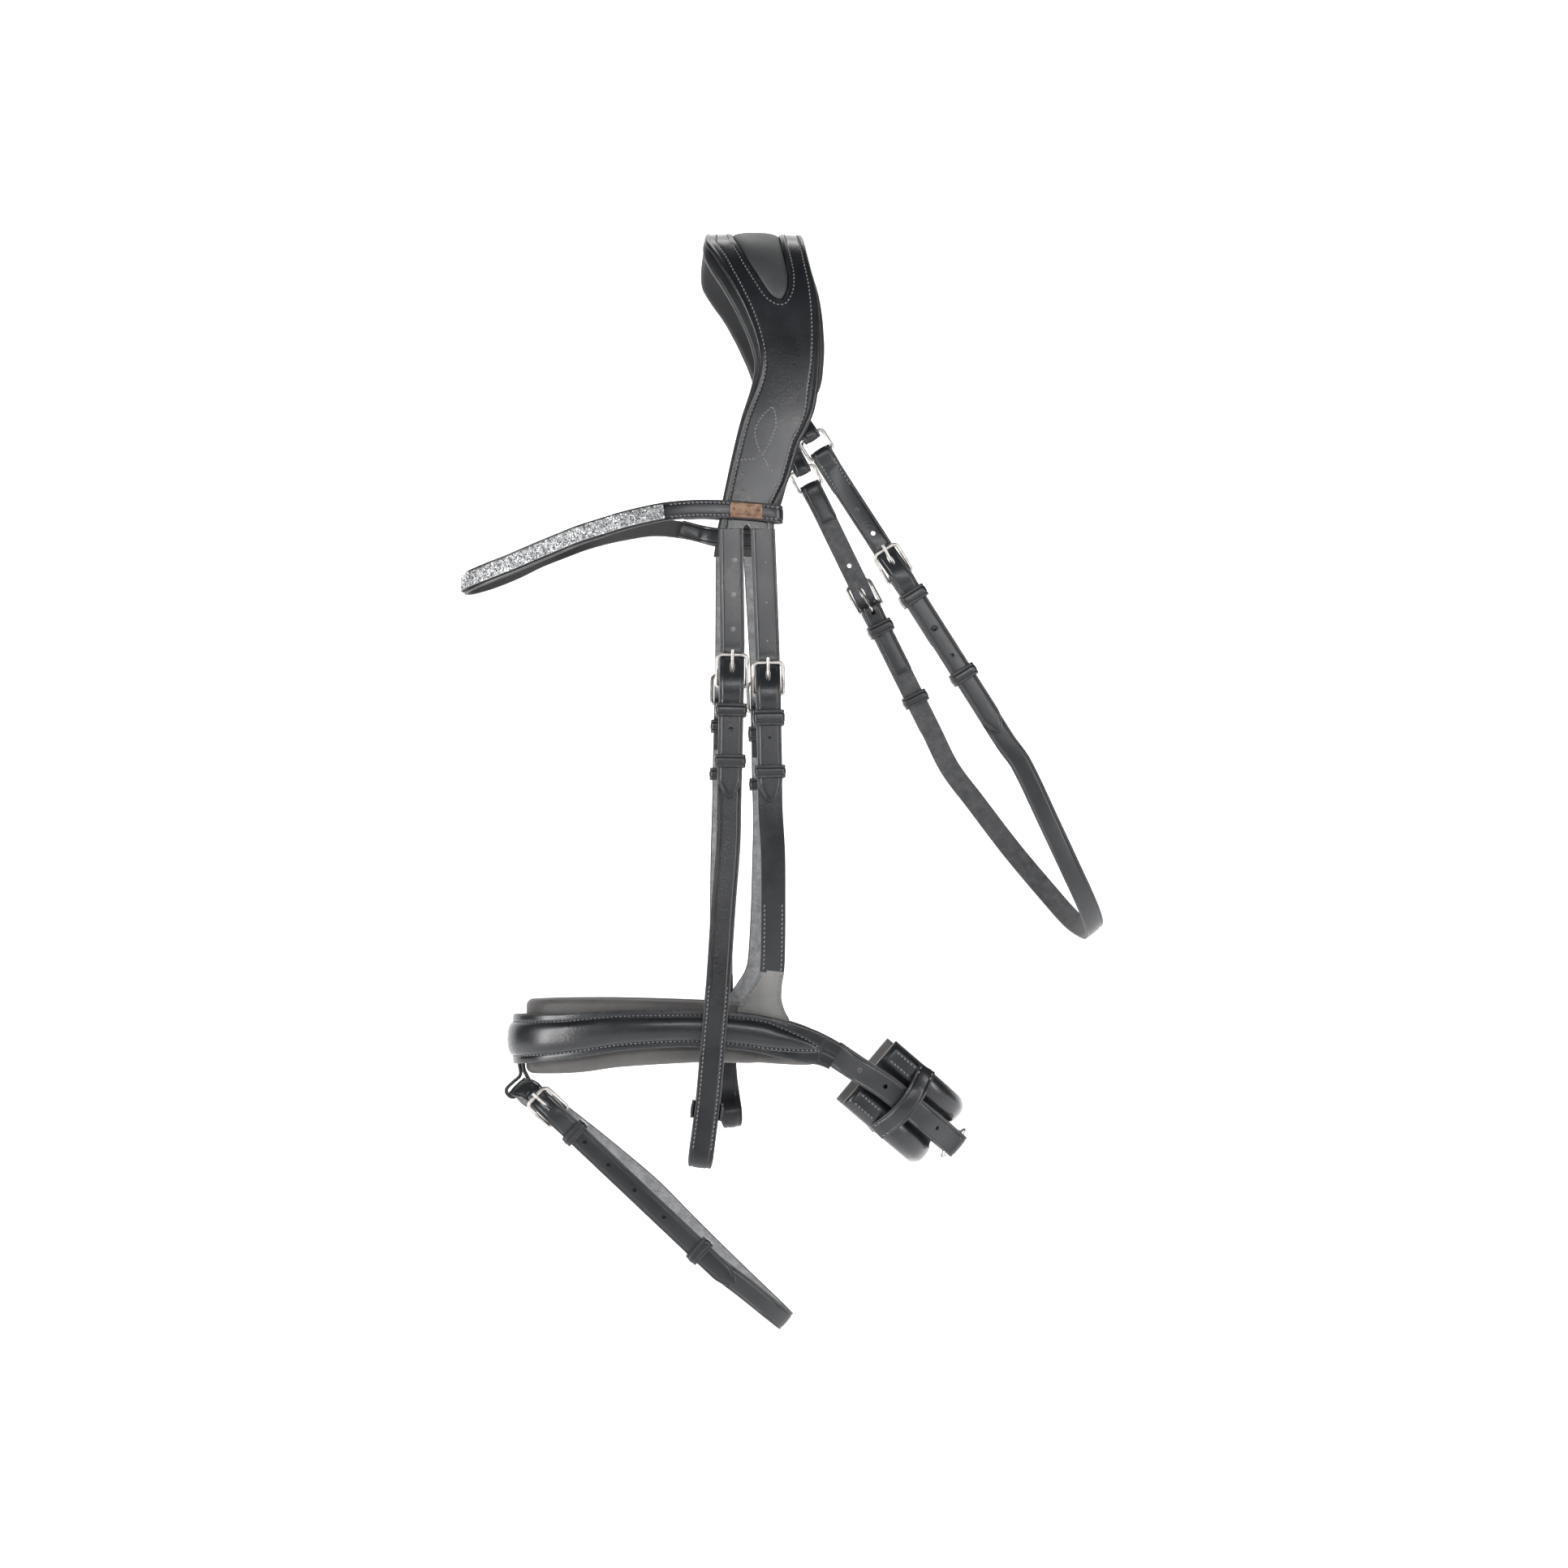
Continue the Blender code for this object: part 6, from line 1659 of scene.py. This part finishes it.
def make_jaw_pad():
    """A U of padded leather: two lobes with a channel between them for the strap."""
    base = [crank_point(a, y, CRANK_B) for a, y in JAW_FLAT]
    pts, nrm = dense(base, plan_normals(JAW_FLAT, -1.0), 1.6)
    rail = Rail(pts, nrm, [2 * JAW_HALF] * len(pts))
    rows = []
    for i, (point, (_, normal, side)) in enumerate(zip(pts, rail.f)):
        edge = min(rail.run[i], rail.length - rail.run[i])
        end = math.sqrt(max(0.05, 1 - (1 - min(1.0, edge / 3.5)) ** 2))
        ring = []
        for k in range(33):
            b = -JAW_HALF + 0.6 + (2 * JAW_HALF - 1.2) * k / 32
            lobe = abs(abs(b) - 14.6)
            full = 1.9 + 2.6 * math.sqrt(max(0.0, 1 - (lobe / 6.4) ** 2)) * end
            rim = 0.5 * bell(abs(b) - (JAW_HALF - 2.4), 0.5) + 1.6 * bell(JAW_HALF - abs(b), 0.9)
            ring.append((b, full - rim))
        ring += [(JAW_HALF, -0.4), (JAW_HALF - 0.2, -2.0), (JAW_HALF - 1.2, -3.3)]
        for k in range(9):
            u = 1 - 2 * k / 8
            ring.append((u * (JAW_HALF - 3.0), -4.0 + 0.5 * bell(u, 0.18)))
        ring += [(-JAW_HALF + 1.2, -3.3), (-JAW_HALF + 0.2, -2.0), (-JAW_HALF, -0.4)]
        rows.append([point + side * u + normal * n for u, n in ring])
    count = 33 + 3 + 9 + 3
    slots = [0] * 34 + [1] * 12 + [0] * 2
    mesh = skin("jaw pad", rows, slots, [3.0] * count)
    pad = finish_piece("jaw_pad_detail", mesh, [GRAIN, SOFT, EDGE], "root", ["jaw_pad"], sharp=70.0)
    for sign in (-1, 1):
        stitch_run("root", rail, 2.5, rail.length - 2.5, sign * (JAW_HALF - 2.4), 1.62)
    for side in (-1, 1):
        jaw_trim(side)


def jaw_trim(side):
    """On each side of the pad: a bowed keeper over the strap and two stitched end patches."""
    name = SIDE_NAME[side]
    out = Vector((0.0, float(side), 0.0))
    keep = []
    facing = []
    for b, lift, shift in ((22.4, 30.6, -3.0), (19.4, 33.2, -2.2), (14.6, 35.4, -1.0), (9.6, 37.8, 0.0),
                           (4.4, 38.8, 0.9), (0.0, 39.0, 1.2), (-4.4, 38.8, 1.2), (-9.6, 37.6, 0.8),
                           (-14.6, 35.2, 0.0), (-19.4, 33.0, -1.0), (-22.4, 30.6, -1.8)):
        keep.append(crank_point(55.5 + shift, side * lift, CRANK_B + b))
        facing.append((out + CRANK_UP * (b / 40.0)).normalized())
    _, rail = strap(name + "_jaw_keeper_band", [], keep, facing, 10.5, THIN, mats=[STRAP, STRAP, EDGE],
                    body="root")
    for end in ((1.5, 7.0), (rail.length - 7.0, rail.length - 1.5)):
        for sign in (-1, 1):
            stitch_run("root", rail, end[0], end[1], lambda h, k=sign: k * (h - 1.6), THIN / 2 - 0.1)
    for sign in (-1, 1):
        patch = []
        for a, lift in ((32.5, 33.1), (36.0, 33.3), (41.0, 33.3), (46.0, 33.0), (49.0, 32.6)):
            patch.append(crank_point(a, side * lift, CRANK_B + sign * 15.2))
        label = name + ("_jaw_patch_upper" if sign > 0 else "_jaw_patch_lower")
        _, rail = strap(label, [], patch, [out] * len(patch), 8.4, 1.2, mats=[STRAP, STRAP, EDGE],
                        body="root", top=top_plain)
        for k in (-1, 1):
            stitch_run("root", rail, 1.5, 15.0, k * 2.9, 0.5, 2.1)


# ---- throatlash ------------------------------------------------------------------------
THROAT = {
    -1: {"bar": (77.0, -188.4), "along": (0.535, 0.0, -0.845), "ring": 86.0, "tip": 101.0, "runner": 64.0},
    1: {"bar": (69.0, -193.4), "along": (0.445, 0.0, -0.896), "ring": 84.6, "tip": 88.0, "runner": 59.0},
}
THROAT_FIXED_S = 13.0
THROAT_LOW = [
    (143.0, -52.4, -291.0), (159.0, -47.6, -323.0), (171.6, -40.0, -347.5), (182.6, -27.0, -367.0),
    (188.8, -13.0, -378.0), (190.2, 0.0, -382.2), (187.6, 13.0, -380.6), (182.2, 27.0, -375.0),
    (172.4, 40.0, -361.8), (150.4, 48.6, -334.0), (130.4, 52.2, -307.0)]
THROAT_LOW_N = [(0, -1, 0), (0.08, -1, -0.1), (0.2, -1, -0.3), (0.4, -0.8, -0.55), (0.55, -0.45, -0.7),
                (0.62, 0, -0.78), (0.6, 0.45, -0.7), (0.45, 0.8, -0.5), (0.25, 1, -0.25), (0.1, 1, -0.08),
                (0, 1, 0)]
THROAT_Y = 52.0
RING_SHORT = 6.2
RING_R = 1.0
RING_N = -1.6
TAB_W = 9.6


def throat_place(side):
    spec = THROAT[side]
    return Place((spec["bar"][0], side * THROAT_Y, spec["bar"][1]), spec["along"], (0.0, side, 0.0))


def throat_ring_frame(side, place):
    spec = THROAT[side]
    return Place(place.at(-spec["ring"], RING_N), spec["along"], (0.0, side, 0.0))


def make_throat_side(side):
    name = SIDE_NAME[side]
    place = throat_place(side)
    spec = THROAT[side]
    ring = throat_ring_frame(side, place)
    half = SMALL_W / 2 + 0.5 + RING_R
    pts = [ring.at(b, 0.0, a) for a, b in rounded_loop(half, RING_SHORT, 1.8, 8)]
    wire(name + "_throat_ring_detail", [name + "_throat_ring"], pts, RING_R, closed=True)

    wrap = RING_R + GAP + LEATHER / 2
    fold = Place(ring.at(RING_SHORT, 0.0), spec["along"], (0.0, side, 0.0))
    start = [fold.at(22.0, -2 * LAYER - 0.1), fold.at(8.0, -2 * LAYER - 0.1), fold.at(3.0, -wrap)]
    facing = [-fold.n] * 3
    for angle in (265, 225, 180, 135, 95):
        a = math.radians(angle)
        start.append(fold.at(wrap * math.cos(a), wrap * math.sin(a)))
        facing.append(fold.s * math.cos(a) + fold.n * math.sin(a))
    start += [fold.at(4.5, wrap * 0.62), fold.at(9.0, 0.1), fold.at(24.0, 0.0)]
    facing += [fold.n] * 3
    below = billet_path(place)
    tip_s = spec["tip"]
    below += [place.at(tip_s * 0.4, BILLET_N), place.at(tip_s * 0.7, BILLET_N), place.at(tip_s, BILLET_N)]
    holes = [(-44.0, BILLET_TOP_N), (-28.0, BILLET_TOP_N), (34.0, BILLET_N), (52.0, BILLET_N)]
    node = name + "_throat_billet"
    _, rail = strap(node + "_detail", [node], start + below, facing + [place.n] * len(below), SMALL_W,
                    tip=12.0, mats=[STRAP, DARKER_FLESH, EDGE],
                    cuts=[billet_holes(place, -10.4, holes)])
    low = rail.nearest(fold.at(4.5, 0.5))
    high = rail.nearest(fold.at(23.0, 0.0))
    for sign in (-1, 1):
        stitch_run("throatlash", rail, low, high, lambda h, k=sign: k * (h - 1.9), LEATHER / 2 - 0.15)
    buckle_frame(name + "_throat_buckle_frame", place, SMALL_W)
    tongue(name + "_throat_buckle_prong", place)
    keeper(name + "_throat_fixed_keeper", place, THROAT_FIXED_S, 7.2, SMALL_W, -LAYER - LEATHER / 2,
           BILLET_N + LEATHER / 2)
    keeper(name + "_throat_runner", place, spec["runner"], 7.0, SMALL_W, LAYER - LEATHER / 2,
           BILLET_N + LEATHER / 2)
    make_throat_tab(name, ring)


def make_throat_tab(name, ring):
    fold = Place(ring.at(-RING_SHORT, 0.0), ring.s, ring.n)
    thick_wrap = RING_R + GAP + THIN / 2
    long_wrap = thick_wrap + 0.7
    path = [fold.at(-10.0, -0.95), fold.at(-5.5, -0.95), fold.at(-2.2, -thick_wrap * 0.9)]
    facing = [-fold.n] * 3
    for angle in (-90, -60, -30, 0, 30, 60, 90):
        a = math.radians(angle)
        path.append(fold.at(long_wrap * math.cos(a), thick_wrap * math.sin(a)))
        facing.append(fold.s * math.cos(a) + fold.n * math.sin(a))
    path += [fold.at(-2.2, thick_wrap * 0.9), fold.at(-5.5, 0.95), fold.at(-10.0, 0.95)]
    facing += [fold.n] * 3
    strap(name + "_throat_tab_detail", [name + "_throat_tab"], path, facing, TAB_W, THIN,
          mats=[STRAP, STRAP, EDGE])


def make_throat_strap():
    near = throat_place(-1)
    far = throat_place(1)
    head = fold_path(near, 42.0) + [near.at(45.0, LAYER), near.at(80.0, LAYER), near.at(108.0, LAYER)]
    head_n = fold_normals(near) + [near.n] * 3
    tail = fold_path(far, 42.0) + [far.at(45.0, LAYER), far.at(80.0, LAYER), far.at(104.0, LAYER)]
    tail_n = fold_normals(far) + [far.n] * 3
    low = [Vector(p) for p in THROAT_LOW]
    low_n = [Vector(n).normalized() for n in THROAT_LOW_N]
    path = head + low + list(reversed(tail))
    normals = head_n + low_n + list(reversed(tail_n))
    _, rail = strap("throatlash_strap_detail", ["throatlash_strap"], path, normals, SMALL_W,
                    mats=[STRAP, DARKER_FLESH, EDGE], cuts=[slot_tool(near), slot_tool(far)])
    fold_stitches("throatlash", rail, near, 18.0, 42.0)
    for sign in (-1, 1):
        a = rail.nearest(far.at(42.0, LAYER))
        b = rail.nearest(far.at(18.0, LAYER))
        stitch_run("throatlash", rail, a, b, lambda h, k=sign: k * (h - 2.0), LEATHER / 2 - 0.12)


# ---- flash -----------------------------------------------------------------------------
FLASH_PIVOT = Vector((-132.8, 0.0, -468.2))
FLASH_Y = 15.0
FLASH_BAR = (-109.6, -484.6)
FLASH_ALONG = (0.728, 0.0, -0.686)
FLASH_FAR = [(-115.0, 14.0, -480.6), (-96.0, 17.0, -495.0), (-77.0, 18.0, -510.4), (-58.0, 18.0, -526.6),
             (-40.0, 17.4, -544.6), (-22.0, 16.0, -562.4), (-5.0, 13.0, -578.6), (9.6, 8.0, -592.2)]
FLASH_END = (16.6, -598.6)
FLASH_NEAR = [(-6.0, -13.2, -579.6), (9.6, -8.0, -592.6)]


def make_flash():
    place = Place((FLASH_BAR[0], -FLASH_Y, FLASH_BAR[1]), FLASH_ALONG, (0.0, -1.0, 0.0))
    pivot = FLASH_PIVOT
    head = fold_path(place, 34.0) + [place.at(30.0, LAYER), place.at(70.0, LAYER), place.at(118.0, LAYER)]
    head_n = fold_normals(place) + [place.n] * 3
    low = [Vector(p) for p in FLASH_NEAR] + [Vector((FLASH_END[0], 0.0, FLASH_END[1]))]
    low_n = [Vector((0, -1, 0)), Vector((0.5, -0.75, -0.42)), Vector((0.766, 0.0, -0.643))]
    far = [Vector(p) for p in reversed(FLASH_FAR)]
    far_n = [Vector((0.5, 0.75, -0.42))] + [Vector((0, 1, 0))] * (len(far) - 1)
    nose = [pivot + Vector(p) for p in ((7.0, 12.4, -7.2), (2.6, 9.4, -2.6), (0.4, 5.4, -0.4), (0, 0, 0),
                                        (0.4, -5.4, -0.4))]
    nose_n = [Vector(n) for n in ((-0.3, 1, 0.3), (-0.5, 0.7, 0.5), (-0.65, 0.4, 0.65),
                                  (-0.7071, 0.0, 0.7071), (-0.6, -0.5, 0.6))]
    billet = billet_path(place)
    billet[0] = place.at(-BUCKLE_RISE - 4.2, BILLET_TOP_N - 2.6)
    billet += [place.at(60.0, BILLET_N), place.at(100.0, BILLET_N), place.at(134.0, BILLET_N)]
    path = head + low + far + nose + billet
    normals = head_n + low_n + far_n + nose_n + [place.n] * len(billet)
    spare = [(20.0, BILLET_N), (38.0, BILLET_N), (58.0, BILLET_N), (80.0, BILLET_N)]
    _, rail = strap("flash_strap_detail", ["flash_strap"], path, normals, SMALL_W, tip=12.0,
                    cuts=[slot_tool(place), billet_holes(place, -10.4, spare)])
    fold_stitches("flash", rail, place, 17.0, 33.0)
    buckle_frame("flash_buckle_frame", place, SMALL_W)
    tongue("flash_buckle_prong", place)
    keeper("flash_fixed_keeper", place, 12.6, 6.0, SMALL_W, -LAYER - LEATHER / 2, BILLET_N + LEATHER / 2)
    keeper("flash_runner", place, 107.0, 7.0, SMALL_W, LAYER - LEATHER / 2, BILLET_N + LEATHER / 2)
    make_flash_loop(pivot)


def make_flash_loop(pivot):
    ring = Place(pivot, (0.7071, 0.0, -0.7071), (0.7071, 0.0, 0.7071))
    long_half = SMALL_W / 2 + 0.5 + THIN / 2
    short_half = LEATHER / 2 + 1.3 + THIN / 2
    path = [Vector((-131.6, 0, -442.0)), Vector((-131.6, 0, -450.0)), Vector((-131.9, 0, -456.0)),
            ring.at(-short_half, long_half - 1.8), ring.at(-short_half, 0.0),
            ring.at(-short_half, -long_half + 2.0), ring.at(-short_half * 0.6, -long_half + 0.4),
            ring.at(0.0, -long_half), ring.at(short_half * 0.6, -long_half + 0.4),
            ring.at(short_half, -long_half + 2.0), ring.at(short_half, 0.0),
            ring.at(short_half, long_half - 1.0), Vector((-127.5, 0, -462.8)), Vector((-129.45, 0, -458.6)),
            Vector((-129.5, 0, -450.6)), Vector((-129.5, 0, -442.0))]
    facing = []
    for i in range(len(path)):
        along = path[min(i + 1, len(path) - 1)] - path[max(i - 1, 0)]
        facing.append(Vector((along.z, 0, -along.x)).normalized())
    strap("flash_loop_detail", ["flash_loop"], path, facing, 8.6, 2.0, mats=[STRAP, STRAP, EDGE])


# ---- studio ----------------------------------------------------------------------------
def make_studio():
    """A pale floor that sweeps up behind, and soft lights."""
    mat, tree, shader = nodes_of("studio_white")
    shader.inputs["Base Color"].default_value = (0.93, 0.93, 0.93, 1.0)
    shader.inputs["Roughness"].default_value = 0.9
    shader.inputs["Emission Color"].default_value = (1.0, 1.0, 1.0, 1.0)
    place = tree.nodes.new("ShaderNodeTexCoord")
    split = tree.nodes.new("ShaderNodeSeparateXYZ")
    tree.links.new(place.outputs["Object"], split.inputs[0])
    tree.links.new(span(tree, split.outputs["Y"], 0.25, 0.9, -0.5, -0.1), shader.inputs["Emission Strength"])
    profile = [(-3.0, -0.76), (-0.5, -0.76), (1.0, -0.76)]
    for k in range(1, 13):
        a = math.pi / 2 * k / 12
        profile.append((1.0 + 0.8 * math.sin(a), 0.04 - 0.8 * math.cos(a)))
    profile.append((1.8, 3.0))
    verts = []
    for y, z in profile:
        verts += [(-3.5, y, z), (3.5, y, z)]
    faces = [(2 * i, 2 * i + 1, 2 * i + 3, 2 * i + 2) for i in range(len(profile) - 1)]
    mesh = bpy.data.meshes.new("studio_floor")
    mesh.from_pydata(verts, [], faces)
    mesh.shade_smooth()
    mesh.materials.append(mat)
    floor = bpy.data.objects.new("studio_floor", mesh)
    bpy.context.scene.collection.objects.link(floor)

    world_mat = bpy.data.worlds.new("studio")
    world_mat.use_nodes = True
    sky = world_mat.node_tree.nodes["Background"]
    sky.inputs["Color"].default_value = (1.0, 1.0, 1.0, 1.0)
    sky.inputs["Strength"].default_value = 0.1
    bpy.context.scene.world = world_mat
    lamp("long", (0.15, -1.75, 0.08), 1.3, 0.14, 7.0)
    lamp("right", (1.35, -1.3, -0.25), 0.22, 1.5, 15.0)
    lamp("left", (-1.5, -1.0, -0.2), 0.3, 1.1, 17.0)
    lamp("top", (0.0, 0.5, 1.2), 0.9, 0.3, 4.0)


def lamp(name, place, width, height, power):
    data = bpy.data.lights.new(name, "AREA")
    data.shape = "RECTANGLE"
    data.size = width
    data.size_y = height
    data.energy = power
    light = bpy.data.objects.new(name, data)
    light.location = place
    aim = Vector((0.02, 0.0, -0.3)) - Vector(place)
    light.rotation_euler = aim.to_track_quat("-Z", "Y").to_euler()
    bpy.context.scene.collection.objects.link(light)


def make_camera():
    data = bpy.data.cameras.new("camera")
    data.lens = 65.93
    data.sensor_width = 36.0
    data.clip_start = 0.05
    data.clip_end = 50.0
    camera = bpy.data.objects.new("camera", data)
    camera.location = (-0.06432, -1.612, -0.40088)
    camera.rotation_euler = (math.radians(93.4614), 0.0, math.radians(-2.8427))
    bpy.context.scene.collection.objects.link(camera)
    bpy.context.scene.camera = camera


make_headpiece()
make_headpiece_pad()
make_insert()
for which in (-1, 1):
    make_cheek(which)
    make_rear(which)
    make_throat_side(which)
make_browband()
make_noseband()
make_throat_strap()
make_flash()
make_stitches()
make_studio()
make_camera()
bpy.context.scene.view_settings.view_transform = "Standard"
